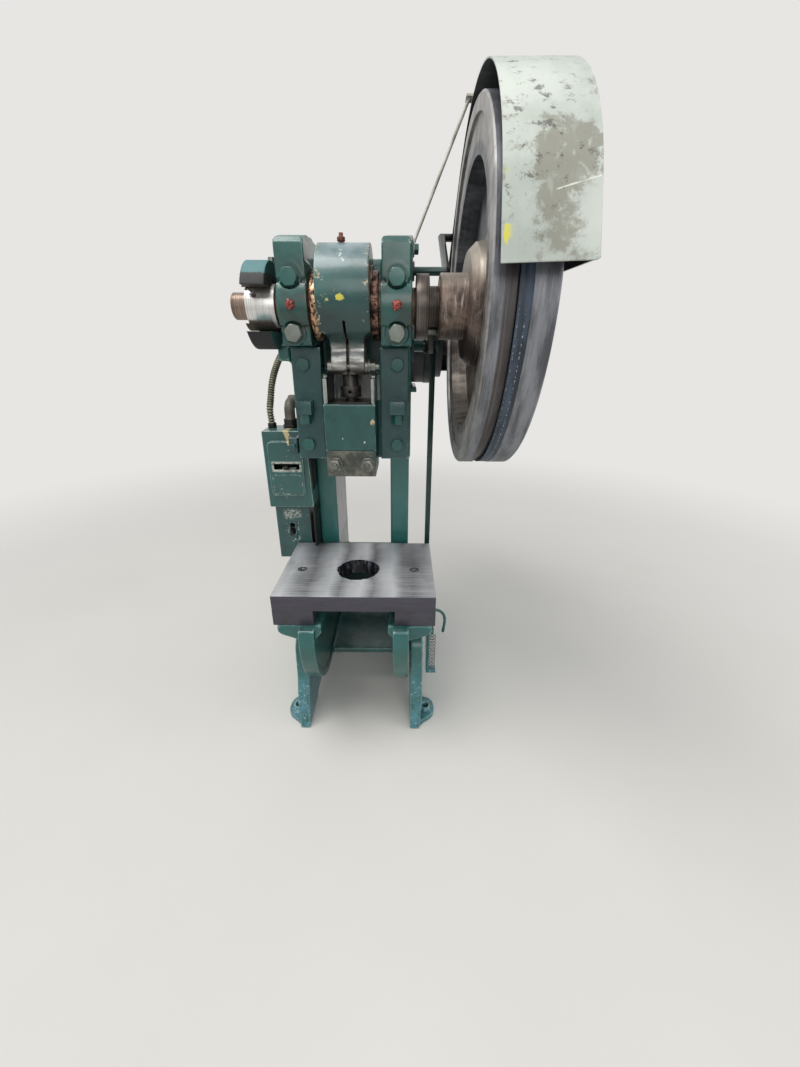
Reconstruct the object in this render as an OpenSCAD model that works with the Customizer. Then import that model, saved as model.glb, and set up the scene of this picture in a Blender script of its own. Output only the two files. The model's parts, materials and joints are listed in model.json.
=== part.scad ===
// Open-back inclinable bench punch press with a pin clutch, a flywheel on the right and a motor behind.
// Millimetres, Z up. X runs to the right as the operator sees it and Y away from the operator.
// Z = 0 is the underside of the feet, and X = Y = 0 is the centre of the four foot bolt holes.

/* [Bed and bolster] */
// Width of the bolster plate
bolster_width = 279.4; // [270:1:290]
// Depth of the bolster plate, front to back
bolster_depth = 214.4; // [205:1:220]
// Thickness of the bolster plate
bolster_thick = 29.2; // [24:0.2:34]
// Width of each riser bar under the bolster
riser_width = 70; // [60:1:74]
// Thickness of the riser bars
riser_thick = 29.2; // [24:0.2:34]
// Across the flame-cut hole in the bolster
slug_hole = 76; // [60:1:84]
// Hold-down screws from the middle of the bolster
hold_down_x = 105; // [98:1:110]
// Height of the machined bed
bed_height = 261.6; // [258:0.2:264]

/* [Frame casting] */
// Outer face of each cheek from the middle
cheek_out = 95; // [93:0.5:96]
// Inner face of each cheek from the middle
cheek_in = 57; // [56.5:0.5:60]
// Radius of the big arc over the head
head_radius = 245; // [240:1:250]
// Back edge of the frame
back_y = 172; // [168:1:174]
// Front face of the columns in the throat
column_y = 19; // [10:1:24]
// Underside of the head
head_bottom = 528; // [520:1:534]
// Radius of the corner between the head and the columns
throat_radius = 32; // [20:1:40]
// Radius of the round belly under the bed
belly_radius = 145; // [138:1:148]
// Thickness of the rim round the belly
belly_rim = 13; // [10:1:16]

/* [Legs and inclination] */
// Inner face of each leg from the middle
leg_in = 100; // [99:0.5:102]
// Thickness of the leg plates
leg_plate = 9; // [7:0.5:11]
// Width of the rim along the edges of the legs
leg_rim = 19; // [16:1:21]
// Radius of the round seat that the frame tilts in
cradle_radius = 98; // [94:1:100]
// Radius from the tilting axis to the clamp bolts
slot_radius = 126; // [124:1:128]
// Foot bolt holes, side to side
foot_span_x = 264; // [256:1:270]
// Foot bolt holes, front to back
foot_span_y = 325; // [315:1:330]
// Diameter of the foot bolt holes
foot_hole = 13; // [11:0.5:15]

/* [Crankshaft] */
// Height of the crankshaft
crank_z = 758; // [755:1:760]
// Throw of the crank, half of the stroke
crank_throw = 12.7; // [10:0.1:13]
// Diameter of the main journals
journal_d = 50; // [48:0.5:52]
// Diameter of the eccentric that carries the pitman
eccentric_d = 80; // [78:0.5:81]
// Diameter of the left end, where the brake drum sits
tail_d = 36; // [32:0.5:38]
// Diameter of the brake drum
drum_d = 57.5; // [55:0.5:60]
// Diameter of the clutch collar
collar_d = 85; // [82:0.5:88]
// Running clearance of the journals, on the radius
fit_gap = 0.05; // [0.03:0.01:0.08]

/* [Ram and pitman] */
// Half of the width of the front of the ram
ram_half = 39.7; // [38:0.1:41]
// Front face of the ram
ram_front = -166; // [-170:1:-162]
// Lowest face of the ram with the crank at the top
ram_bottom = 511; // [505:1:520]
// Floor of the pocket in the ram
pocket_floor = 624; // [618:1:628]
// Top of the ram's side walls
ram_top = 664.5; // [660:0.5:665]
// Diameter of the punch shank bore
shank_d = 25.4; // [20:0.1:27]
// Radius of the pitman's big end
big_end_r = 66; // [62:1:66]
// Half of the width of the pitman's big end
big_end_half = 38; // [36:0.1:38]

/* [Flywheel and drive] */
// Outer radius of the flywheel
wheel_r = 223; // [216:1:224]
// Left face of the flywheel's rim
wheel_x = 168; // [166:0.5:170]
// Width of the flywheel's rim
wheel_width = 71; // [66:1:72]
// Outer radius of the motor pulley
pulley_r = 34; // [30:1:36]
// Motor axis, behind the foot hole centre
motor_y = 247; // [244:1:250]
// Motor axis, height
motor_z = 704; // [700:1:708]
// Radius of the motor shell
motor_r = 80; // [72:1:82]
// Space between the flywheel and the outside of the guard
guard_gap = 24; // [21:1:27]
// Thickness of the guard's sheet
guard_t = 2; // [1.5:0.25:2.5]

/* [Switch boxes] */
// Width of the motor starter box
starter_w = 78; // [70:1:80]
// Height of the motor starter box
starter_h = 140; // [130:1:144]
// Depth of the motor starter box
starter_d = 70; // [60:1:74]
// Width of the lower switch box
switch_w = 62; // [54:1:66]
// Height of the lower switch box
switch_h = 122; // [110:1:124]
// Outer radius of the corrugated conduit
conduit_r = 6.5; // [5:0.5:7]

/* [Hidden] */

$fn = 48;
round_fn = 72;
eps = 0.01;

// Places that the rest is built from
bolster_top = bed_height + riser_thick + bolster_thick;
front_y = -228;
ram_y = front_y + 97;
pivot_y = -20;
pivot_z = 208;
head_y = back_y - head_radius;
head_z = 608;
belly_y = -104;
belly_z = 232;
bed_flange = 135;
bed_flange_thick = 21;
bed_inner = 58;
treadle_bolt_z = bed_height - 10.6;

// Faces of the head
guide_y = -115;
gib_front = -128;
gib_inner = 45.5;
gib_outer = 91;
gib_low = 531;
gib_high = 703.5;
wing_gap = 0.12;
wing_half = cheek_in - wing_gap;
guide_back = -85;
guide_top = 668;
wall_front = -48;
wall_back = -28;
cap_z = 53;
cap_low = crank_z - cap_z;
cap_high = crank_z + cap_z;
cap_front = -174;
cap_inner = 50;
cap_outer = 94;
horn_front = -160;
cap_bolt_z = 36;
head_bolt_x = 73;
bush_r = 30;

// Crankshaft lengths from the left end
tail_x = -171.5;
drum_left = -149;
drum_right = -101;
web_in = 38.2;
web_out = 46.8;
web_r = 46;
collar_left = 99.5;
collar_right = 118;
neck_right = 132.4;
neck_r = 27;
hub_left = 133.2;
hub_r = 43.5;
wheel_shaft_r = 22;
wheel_right = wheel_x + wheel_width;
retainer_left = wheel_right + 2.6;
shaft_right = retainer_left + 10;

// Belt run
belt_left = 196.9;
belt_w = 14.2;
belt_h = 9;
belt_r = wheel_r - 0.5;
pulley_z = motor_z;
pulley_y = motor_y;
belt_pulley_r = pulley_r - 1;
drive_dy = pulley_y - ram_y;
drive_dz = pulley_z - crank_z;
drive_len = sqrt(drive_dy * drive_dy + drive_dz * drive_dz);
drive_angle = atan2(drive_dz, drive_dy);
belt_tilt = asin((belt_r - belt_pulley_r) / drive_len);
guard_r = wheel_r + guard_gap;

// Solids placed along an axis
module along_x(x0, x1) {
    translate([x0, 0, 0]) rotate([90, 0, 90]) linear_extrude(x1 - x0) children();
}

module along_y(y0, y1) {
    translate([0, y1, 0]) rotate([90, 0, 0]) linear_extrude(y1 - y0) children();
}

module bar_x(r, x0, x1, y, z, fn = $fn) {
    translate([x0, y, z]) rotate([0, 90, 0]) cylinder(r = r, h = x1 - x0, $fn = fn);
}

module bar_y(r, y0, y1, x, z, fn = $fn) {
    translate([x, y0, z]) rotate([-90, 0, 0]) cylinder(r = r, h = y1 - y0, $fn = fn);
}

module bar_z(r, z0, z1, x, y, fn = $fn) {
    translate([x, y, z0]) cylinder(r = r, h = z1 - z0, $fn = fn);
}

module block(x0, x1, y0, y1, z0, z1) {
    translate([x0, y0, z0]) cube([x1 - x0, y1 - y0, z1 - z0]);
}

module both_sides() {
    children();
    mirror([1, 0, 0]) children();
}

// A round bar from one point to another, with a round end at the first
module rod(a, b, r) {
    d = b - a;
    run = norm([d[0], d[1]]);
    translate(a) rotate([0, atan2(run, d[2]), atan2(d[1], d[0])]) cylinder(r = r, h = norm(d), $fn = 24);
    translate(a) sphere(r = r + 0.2, $fn = 24);
}

// A hex head bolt along Y whose head is in front of y
module bolt_y(x, y, z, flats, head, shank_r, depth) {
    bar_y(flats / 2 / cos(30), y - head, y, x, z, 6);
    bar_y(shank_r, y, y + depth, x, z);
}

// Outlines in the Y Z plane
module disc(y, z, r, fn = round_fn) {
    translate([y, z]) circle(r = r, $fn = fn);
}

module box2(y0, y1, z0, z1) {
    translate([y0, z0]) square([y1 - y0, z1 - z0]);
}

// Legs
horn_y = -144;
horn_z = 158;
horn_r = 32;
rear_horn_y = 127;
rear_horn_z = 172;
rear_horn_r = 20;
slot_start = 257;
slot_end = 214;
slot_half = 7;
rim_edge = 9;
foot_top = 11;

function on_arc(r, a) = [pivot_y + r * cos(a), pivot_z + r * sin(a)];

module leg_outline() {
    difference() {
        union() {
            polygon([
                [-212, 0], [-196, 55], [-181, 101], [horn_y - horn_r, horn_z], [-112, horn_z],
                [rear_horn_y - rear_horn_r, rear_horn_z], [rear_horn_y + rear_horn_r, rear_horn_z],
                [162, 90], [190, 18], [206, 0], [128, 0], [118, 8], [-118, 8], [-128, 0]
            ]);
            disc(horn_y, horn_z, horn_r);
            disc(rear_horn_y, rear_horn_z, rear_horn_r);
        }
        disc(pivot_y, pivot_z, cradle_radius + 0.3);
        polygon([[32, 122], [rear_horn_y - rear_horn_r, 186], [100, 230], [0, 230]]);
    }
}

module tilt_slot() {
    reach = slot_radius + 40;
    intersection() {
        difference() {
            disc(pivot_y, pivot_z, slot_radius + slot_half);
            disc(pivot_y, pivot_z, slot_radius - slot_half);
        }
        polygon([
            [pivot_y, pivot_z],
            on_arc(reach, slot_start),
            on_arc(reach, (slot_start + slot_end) / 2),
            on_arc(reach, slot_end)
        ]);
    }
    for (a = [slot_start, slot_end]) {
        p = on_arc(slot_radius, a);
        disc(p[0], p[1], slot_half + 0.5, 32);
    }
}

module leg() {
    hole_x = foot_span_x / 2;
    hole_y = foot_span_y / 2;
    difference() {
        union() {
            along_x(leg_in, leg_in + leg_plate) leg_outline();
            // rim round the cradle, down the front and down the back
            along_x(leg_in, leg_in + leg_rim) intersection() {
                leg_outline();
                union() {
                    difference() {
                        disc(pivot_y, pivot_z, cradle_radius + 0.3 + rim_edge);
                        box2(60, 200, 60, 400);
                    }
                    polygon([[-220, 0], [-186, 101], [-186, horn_z], [horn_y - horn_r + rim_edge, horn_z],
                        [-181 + rim_edge, 101], [-196 + rim_edge, 50], [-206 + rim_edge, 0]]);
                    difference() {
                        disc(horn_y, horn_z, horn_r);
                        disc(horn_y, horn_z, horn_r - rim_edge);
                        box2(-200, 0, 0, horn_z);
                    }
                    polygon([[206, 0], [150, 110], [141, 110], [194, 0]]);
                    polygon([[50, 120], [118, 195], [108, 160], [50, 108]]);
                    disc(rear_horn_y, rear_horn_z, rear_horn_r);
                }
            }
            for (s = [-1, 1]) {
                bar_z(26, 0, foot_top, hole_x, s * hole_y);
                bar_z(13, 0, foot_top + 5, hole_x, s * hole_y);
                linear_extrude(foot_top) polygon([
                    [leg_in, s * 210], [leg_in + 12, s * 210], [hole_x + 18, s * (hole_y + 18.5)],
                    [hole_x + 12, s * (hole_y - 23)], [leg_in, s * (hole_y - 40)]
                ]);
            }
        }
        along_x(leg_in - 1, leg_in + leg_plate + 1) tilt_slot();
        for (s = [-1, 1]) bar_z(foot_hole / 2, -1, 30, hole_x, s * hole_y);
        bar_x(5, leg_in - 1, leg_in + leg_rim + 1, rear_horn_y, rear_horn_z);
    }
}

module left_leg() {
    color("darkslategray") mirror([1, 0, 0]) leg();
}

module right_leg() {
    color("darkslategray") leg();
}

module horn_screws() {
    color("dimgray") both_sides() {
        face = leg_in + leg_rim;
        bar_x(5, leg_in + 2, face, rear_horn_y, rear_horn_z);
        bar_x(8 / cos(30), face, face + 6.5, rear_horn_y, rear_horn_z, 6);
        bar_x(7 / cos(30), face + 6.5, face + 13, rear_horn_y, rear_horn_z, 6);
    }
}

// Frame casting
module cheek_upper() {
    fillet_y = column_y - throat_radius;
    fillet_z = head_bottom - throat_radius;
    difference() {
        union() {
            intersection() {
                disc(head_y, head_z, head_radius, 144);
                box2(horn_front, 400, head_z, 900);
            }
            box2(guide_y, head_y + 100, head_bottom, crank_z);
            box2(column_y, back_y, bed_height - bed_flange_thick, head_z + 20);
            box2(head_y, back_y, head_bottom, head_z + 1);
            difference() {
                box2(fillet_y, column_y + 1, fillet_z, head_bottom + 1);
                disc(fillet_y, fillet_z, throat_radius);
            }
        }
        // seats of the gibs and of the bearing caps
        box2(-300, guide_y, 0, cap_low);
        box2(-300, ram_y, cap_low, cap_high + 0.3);
        disc(ram_y, crank_z, bush_r);
    }
}

module belly_outline(r) {
    intersection() {
        union() {
            disc(belly_y, belly_z, r);
            disc(back_y - r - (belly_radius - r), belly_z, r);
            box2(belly_y, back_y - belly_radius, belly_z - r, belly_z + 40);
        }
        box2(-400, 400, 0, bed_height);
    }
}

module clamp_boss() {
    p = on_arc(slot_radius, slot_start);
    disc(p[0], p[1], 17);
}

module frame_side() {
    difference() {
        union() {
            along_x(cheek_in, cheek_out) cheek_upper();
            // bearing block, wider towards the pitman
            along_x(cap_inner, cheek_out) difference() {
                box2(ram_y, guide_back, cap_low, cap_high);
                disc(ram_y, crank_z, bush_r);
            }
            // bed flange with a sloping underside
            along_y(front_y, -14) polygon([
                [bed_inner, bed_height], [bed_flange, bed_height],
                [bed_flange, bed_height - bed_flange_thick + 6], [bed_flange - 8, bed_height - bed_flange_thick],
                [cheek_out, bed_height - bed_flange_thick - 12], [70, bed_height - bed_flange_thick - 12],
                [bed_inner, bed_height - bed_flange_thick + 4]
            ]);
            // belly: a thin web with a rim, and the round seat that tilts in the leg
            along_x(70, 83) belly_outline(belly_radius);
            along_x(67, cheek_out) difference() {
                belly_outline(belly_radius);
                belly_outline(belly_radius - belly_rim);
            }
            along_x(70, leg_in + 12) difference() {
                disc(pivot_y, pivot_z, cradle_radius);
                disc(pivot_y, pivot_z, cradle_radius - 18);
                box2(-300, 300, bed_height - bed_flange_thick - 6, 400);
            }
            along_x(70, leg_in - 0.3) clamp_boss();
            // diagonal rib under the flange
            along_x(70, cheek_out - 3) intersection() {
                belly_outline(belly_radius);
                polygon([[-232, 238], [-218, 244], [-100, 176], [-108, 163]]);
            }
        }
        // the cheeks are cored out from inside, behind the wall
        along_x(cheek_in - 1, cheek_in + 17) {
            intersection() {
                disc(head_y, head_z, head_radius - 20, 144);
                box2(-8, 300, head_bottom + 14, 900);
            }
            box2(column_y + 20, back_y - 22, 296, head_bottom + 15);
        }
        bar_x(6, 60, leg_in + 2, on_arc(slot_radius, slot_start)[0], on_arc(slot_radius, slot_start)[1]);
        bar_z(5, 200, 300, hold_down_x, ram_y);
        for (z = [crank_z - cap_bolt_z, crank_z + cap_bolt_z]) bar_y(6, ram_y - 1, -80, head_bolt_x, z);
        for (z = [555, 679]) bar_y(5, guide_y - 1, -80, head_bolt_x, z);
    }
}

module frame_casting() {
    color("darkslategray") difference() {
        union() {
            both_sides() frame_side();
            // ram guide and the wall behind the pitman
            block(-cheek_in - 1, cheek_in + 1, guide_back, wall_back, head_bottom, guide_top);
            intersection() {
                block(-cheek_in - 1, cheek_in + 1, wall_front, wall_back, head_bottom, 900);
                along_x(-100, 100) disc(head_y, head_z, head_radius - 20, 144);
            }
            // curved apron that joins the cheeks under the bed
            along_x(-71, 71) intersection() {
                difference() {
                    belly_outline(belly_radius);
                    belly_outline(belly_radius - belly_rim);
                }
                box2(-86, 400, 0, 400);
            }
            along_x(-71, 71) box2(back_y - 18, back_y, 180, 330);
            // lugs for the brake
            block(-128, -94, -122, -96, 683, 706);
            block(-140, -94, -91, -62, crank_z - 14, crank_z + 14);
        }
        bar_z(5, crank_z - 20, crank_z + 20, -120, -76);
        bar_x(4, cheek_out - 12, cheek_out + 1, -112, 833);
        for (y = [-98, -42]) bar_x(4.2, bed_flange - 12, bed_flange + 1, y, treadle_bolt_z);
    }
}

module incline_bolts() {
    p = on_arc(slot_radius, slot_start);
    face = leg_in + leg_plate + 0.3;
    color("darkslategray") both_sides() {
        bar_x(6, 72, face, p[0], p[1]);
        bar_x(14, face, face + 3, p[0], p[1]);
        bar_x(9.5 / cos(30), face + 3, face + 12, p[0], p[1], 6);
    }
}

// Bolster
function ragged(a) = slug_hole / 2 + 1.4 * sin(7 * a) + 0.9 * sin(13 * a + 40) + 0.7 * cos(19 * a);

module bolster() {
    color("slategray") difference() {
        block(-bolster_width / 2, bolster_width / 2, front_y, front_y + bolster_depth,
            bolster_top - bolster_thick, bolster_top);
        translate([0, ram_y, bolster_top - bolster_thick - 1]) linear_extrude(bolster_thick + 2)
            polygon([for (a = [0:5:355]) [ragged(a) * cos(a), ragged(a) * sin(a)]]);
        both_sides() {
            bar_z(5.5, bolster_top - bolster_thick - 1, bolster_top + 1, hold_down_x, ram_y);
            bar_z(8.5, bolster_top - 11, bolster_top + 1, hold_down_x, ram_y);
        }
    }
}

module riser_bars() {
    edge = bolster_width / 2 + 0.5;
    color("slategray") both_sides() difference() {
        block(edge - riser_width, edge, front_y + 1, front_y + bolster_depth - 1,
            bed_height, bed_height + riser_thick);
        bar_z(5.5, bed_height - 1, bed_height + riser_thick + 1, hold_down_x, ram_y);
    }
}

module hold_down_screws() {
    color("dimgray") both_sides() difference() {
        union() {
            bar_z(8, bolster_top - 11, bolster_top - 1.5, hold_down_x, ram_y);
            bar_z(5, bed_height - 20, bolster_top - 11, hold_down_x, ram_y);
        }
        bar_z(4.4, bolster_top - 6.5, bolster_top, hold_down_x, ram_y, 6);
    }
}

// Bearing caps
module cap_outline() {
    difference() {
        union() {
            box2(cap_front + 6, ram_y, cap_low + 5, cap_high - 5);
            box2(cap_front + 12, ram_y, cap_low, cap_high);
            disc(cap_front + 12, cap_low + 6, 6, 32);
            disc(cap_front + 12, cap_high - 6, 6, 32);
            intersection() {
                disc(ram_y, crank_z, 50);
                box2(-300, ram_y, crank_z - 26, crank_z + 26);
            }
        }
        disc(ram_y, crank_z, bush_r);
    }
}

module cap() {
    difference() {
        union() {
            along_x(cap_inner, cap_outer) cap_outline();
            for (z = [crank_z - cap_bolt_z, crank_z + cap_bolt_z]) bar_y(16.5, cap_front, -150, head_bolt_x, z);
        }
        for (z = [crank_z - cap_bolt_z, crank_z + cap_bolt_z]) bar_y(6.5, -200, -100, head_bolt_x, z);
        bar_y(4, -190, -120, head_bolt_x, crank_z);
        bar_x(bush_r, cap_inner - 1, cap_outer + 1, ram_y, crank_z, round_fn);
        box2_clear();
    }
}

// Keeps the bolt pads inside the width of the cap
module box2_clear() {
    block(cap_outer, cap_outer + 20, -200, ram_y + 1, 600, 900);
    block(cap_inner - 20, cap_inner, -200, ram_y + 1, 600, 900);
}

module left_cap() {
    color("darkslategray") mirror([1, 0, 0]) cap();
}

module right_cap() {
    color("darkslategray") cap();
}

module head_bolts() {
    color("dimgray") {
        both_sides() {
            for (z = [crank_z - cap_bolt_z, crank_z + cap_bolt_z]) {
                bolt_y(head_bolt_x, cap_front, z, 19, 8, 6, cap_front * -1 - 84);
            }
            for (z = [555, 679]) bolt_y(head_bolt_x, gib_front, z, 17, 7, 5, gib_front * -1 - 84);
            bar_z(4, 600, 629, head_bolt_x, -141);
            bar_z(6.5 / cos(30), 591, 600, head_bolt_x, -141, 6);
        }
        bar_x(4, cheek_out - 12, cheek_out + 2, -112, 833);
        bar_x(6.5 / cos(30), cheek_out + 2, cheek_out + 8, -112, 833, 6);
    }
}

module crank_bushes() {
    color("peru") both_sides() difference() {
        union() {
            bar_x(bush_r, 49.8, cap_outer, ram_y, crank_z, round_fn);
            bar_x(40, 47, 49.8, ram_y, crank_z, round_fn);
        }
        bar_x(journal_d / 2 + fit_gap, 40, 100, ram_y, crank_z, round_fn);
        bar_y(3, -170, ram_y, head_bolt_x, crank_z);
    }
}

module grease_plugs() {
    color("firebrick") {
        both_sides() {
            bar_y(4, -178, -162, head_bolt_x, crank_z);
            bar_y(6, -184, -181, head_bolt_x, crank_z);
            bar_y(2.6, -190, -184, head_bolt_x, crank_z);
            bar_y(4, -181.2, -178, head_bolt_x, crank_z);
        }
    }
}

// Gibs and what is on them
module gib() {
    difference() {
        block(gib_inner, gib_outer, gib_front, guide_y, gib_low, gib_high);
        for (z = [555, 679]) bar_y(5.5, gib_front - 1, guide_y + 1, head_bolt_x, z);
        bar_y(4, gib_front - 1, guide_y + 1, head_bolt_x, 616);
    }
}

module gib_plates() {
    color("darkslategray") both_sides() gib();
}

module knockout_lugs() {
    color("darkslategray") both_sides() difference() {
        union() {
            block(61, 85, -152, gib_front, 606, 626);
            bar_y(4, gib_front, guide_y, head_bolt_x, 616);
        }
        bar_z(4, 600, 630, head_bolt_x, -141);
    }
}

module gib_clips() {
    color("darkslategray") both_sides() {
        difference() {
            block(cheek_out, cheek_out + 14, -124, -96, 556, 582);
            bar_y(4, -130, -90, cheek_out + 7, 569);
        }
        bar_y(4, -128, -96, cheek_out + 7, 569);
        bar_y(6 / cos(30), -134, -128, cheek_out + 7, 569, 6);
    }
}

// Brake
shoe_left = -147;
shoe_right = -105;
shoe_r = 58;
lining_in = drum_d / 2 + 0.3;
lining_out = lining_in + 3.5;
brake_bolt_x = -120;
brake_bolt_y = -76;
lug_half = 14;
shoe_gap = 23;

module upper_half(z0) {
    box2(-300, 100, z0, 900);
}

module lower_half(z1) {
    box2(-300, 100, 500, z1);
}

module upper_shoe() {
    color("darkslategray") difference() {
        along_x(shoe_left, shoe_right) difference() {
            union() {
                intersection() {
                    disc(ram_y, crank_z, shoe_r);
                    upper_half(crank_z + shoe_gap);
                }
                box2(ram_y + 20, -62, crank_z + shoe_gap, crank_z + shoe_gap + 15);
                box2(-92, -62, crank_z + lug_half, crank_z + shoe_gap + 1);
            }
            disc(ram_y, crank_z, lining_out);
        }
        bar_z(5.5, 700, 900, brake_bolt_x, brake_bolt_y);
    }
}

module lower_shoe() {
    color("darkslategray") difference() {
        along_x(shoe_left, shoe_right) difference() {
            union() {
                intersection() {
                    disc(ram_y, crank_z, shoe_r);
                    lower_half(crank_z - shoe_gap);
                }
                box2(ram_y + 20, -62, crank_z - shoe_gap - 15, crank_z - shoe_gap);
                box2(-92, -62, crank_z - shoe_gap - 1, crank_z - lug_half);
            }
            disc(ram_y, crank_z, lining_out);
        }
        bar_z(5.5, 600, 800, brake_bolt_x, brake_bolt_y);
        // seat on the lug of the frame
        block(-129, -90, -123, -95, 600, 706.2);
    }
}

module brake_linings() {
    color("saddlebrown") along_x(shoe_left + 1, shoe_right - 1) difference() {
        disc(ram_y, crank_z, lining_out);
        disc(ram_y, crank_z, lining_in);
        box2(-300, 100, crank_z - shoe_gap, crank_z + shoe_gap);
    }
}

module brake_bolt() {
    low = crank_z - shoe_gap - 15;
    color("dimgray") {
        bar_z(5, low - 12, 844, brake_bolt_x, brake_bolt_y);
        bar_z(9 / cos(30), low - 12, low - 4, brake_bolt_x, brake_bolt_y, 6);
        bar_z(10.8, low - 4, low, brake_bolt_x, brake_bolt_y);
        bar_z(13, 827, 829, brake_bolt_x, brake_bolt_y);
        bar_z(9 / cos(30), 829, 837, brake_bolt_x, brake_bolt_y, 6);
    }
}

// A round wire coil about the Z axis
function coil_point(r, z0, z1, turns, t) =
    [r * cos(360 * turns * t), r * sin(360 * turns * t), z0 + (z1 - z0) * t];

function ring_points(p, side, up, r, sides) =
    [for (k = [0:sides - 1]) p + r * (cos(360 * k / sides) * side + sin(360 * k / sides) * up)];

function unit(v) = v / norm(v);

module tube(path, r, sides, reference = [0, 0, 1]) {
    n = len(path);
    rings = [for (i = [0:n - 1])
        let (t = unit(path[min(i + 1, n - 1)] - path[max(i - 1, 0)]))
        let (side = unit(cross(t, reference)))
        each ring_points(path[i], side, cross(side, t), r, sides)];
    walls = [for (i = [0:n - 2], k = [0:sides - 1])
        let (a = i * sides + k, b = i * sides + (k + 1) % sides)
        each [[a, b, b + sides], [a, b + sides, a + sides]]];
    first = [for (k = [0:sides - 1]) sides - 1 - k];
    last = [for (k = [0:sides - 1]) (n - 1) * sides + k];
    polyhedron(rings, concat([first], walls, [last]), convexity = 6);
}

module coil(r, wire, z0, z1, turns, x, y) {
    steps = turns * 12;
    translate([x, y, 0])
        tube([for (i = [0:steps]) coil_point(r, z0 + wire, z1 - wire, turns, i / steps)], wire, 6, [0, 0, 1]);
}

module brake_spring() {
    color("dimgray") coil(9, 1.8, crank_z + shoe_gap + 15, 827, 4, brake_bolt_x, brake_bolt_y);
}

// Guard round the flywheel, the belt and the motor pulley
guard_left = 170;
guard_right = 255;
guard_front = 160;
guard_low = 778;
guard_slope = -0.199;
guard_rear = 52;

function polar(c, r, a) = [c[0] + r * cos(a), c[1] + r * sin(a)];

crank_c = [ram_y, crank_z];
pulley_c = [pulley_y, pulley_z];
guard_rear_r = guard_r - norm(pulley_c - crank_c) * cos(guard_rear - drive_angle);

module guard_shape(t) {
    a = polar(crank_c, guard_r - t, guard_front);
    down = [cos(guard_front + 90), sin(guard_front + 90)];
    disc(ram_y, crank_z, guard_r - t, 144);
    disc(pulley_y, pulley_z, guard_rear_r - t);
    polygon([a, a + 72 * down, a + 72 * down + [60, 0], crank_c]);
    polygon([
        crank_c - [0, guard_r], crank_c, polar(crank_c, guard_r - t, guard_rear),
        polar(pulley_c, guard_rear_r - t, guard_rear), pulley_c, pulley_c - [0, guard_r]
    ]);
}

module above_guard_edge(lift) {
    front = ram_y - guard_r - 16;
    rear = pulley_y + guard_r;
    top = crank_z + guard_r + 50;
    polygon([
        [front - 46, guard_low + 9 + lift], [front, guard_low + lift],
        [ram_y, guard_low + (ram_y - front) * guard_slope + 4 + lift],
        [60, guard_low + (60 - front) * guard_slope + lift],
        [rear, guard_low + (rear - front) * guard_slope + lift], [rear, top], [front - 46, top]
    ]);
}

module guard_sheet() {
    color("darkseagreen") {
        along_x(guard_left, guard_right) intersection() {
            difference() {
                guard_shape(0);
                guard_shape(guard_t);
            }
            above_guard_edge(0);
        }
        along_x(guard_right - guard_t, guard_right) intersection() {
            guard_shape(guard_t / 2);
            above_guard_edge(0);
        }
    }
}

module guard_bar() {
    place = polar(crank_c, wheel_r + 29.7, 29.91);
    up = [0, cos(guard_rear), sin(guard_rear)];
    depth = (place[0] - ram_y) * cos(guard_rear) + (place[1] - crank_z) * sin(guard_rear);
    bend = [150, place[0], place[1]];
    end = [177, place[0], place[1]];
    color("darkslategray") {
        bar_x(14, cheek_out, cheek_out + 4, -40, 815);
        bar_x(6.35, cheek_out + 3, 150, -40, 815);
        rod([150, -40, 815], bend, 6.35);
        rod(bend, end + [5, 0, 0], 6.35);
        rod(end, end + (guard_r - guard_t - depth) * up, 5);
    }
}

module guard_stay() {
    foot = [cheek_out + 1, -112, 833];
    stay_place = polar(crank_c, guard_r + 1.6, 81.67);
    tab = [166.5, stay_place[0], stay_place[1]];
    color("gray") {
        difference() {
            union() {
                bar_x(10, cheek_out, cheek_out + 2, foot[1], foot[2]);
                rod(foot + [0.6, 0, 9.5], tab, 2.2);
            }
            bar_x(4.2, cheek_out - 1, cheek_out + 3, foot[1], foot[2]);
            block(cheek_out - 10, cheek_out, -130, -90, 800, 900);
        }
        along_x(guard_left - 8, guard_left + 14) intersection() {
            difference() {
                disc(ram_y, crank_z, guard_r + 2.4, 144);
                disc(ram_y, crank_z, guard_r, 144);
            }
            box2(tab[1] - 7, tab[1] + 7, tab[2] - 14, tab[2] + 16);
        }
    }
}

// Motor behind the head
mount_z = motor_z - motor_r - 8;
motor_left = -110;
motor_right = 150;
shell_left = -88;
shell_right = 128;
cap_line = motor_z + motor_r;

module motor_mount() {
    color("darkslategray") {
        block(-76, 112, back_y + 2, motor_y + 72, mount_z - 8, mount_z);
        for (x = [-90, 62]) {
            block(x, x + 28, back_y, back_y + 9, 536, mount_z - 8);
            along_x(x + 10, x + 18) polygon([
                [back_y + 9, 545], [back_y + 9, mount_z - 8], [motor_y + 60, mount_z - 8],
                [motor_y + 60, mount_z - 16], [back_y + 34, 560]
            ]);
        }
        block(-90, 90, back_y, back_y + 9, mount_z - 26, mount_z - 8);
    }
}

module motor_shell() {
    color("dimgray") {
        difference() {
            union() {
                bar_x(motor_r, shell_left, shell_right, motor_y, motor_z, 96);
                for (x = [-58, 66]) block(x, x + 30, motor_y - 60, motor_y + 60, mount_z, motor_z - 60);
                block(-66, 104, motor_y - 66, motor_y + 66, mount_z, mount_z + 4);
            }
            bar_x(motor_r - 6, shell_left - 1, shell_right + 1, motor_y, motor_z, 96);
        }
        bar_x(14, -70, 110, motor_y, motor_z);
        for (x = [-60, 60]) bar_x(motor_r - 6, x, x + 12, motor_y, motor_z, 96);
    }
}

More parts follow.
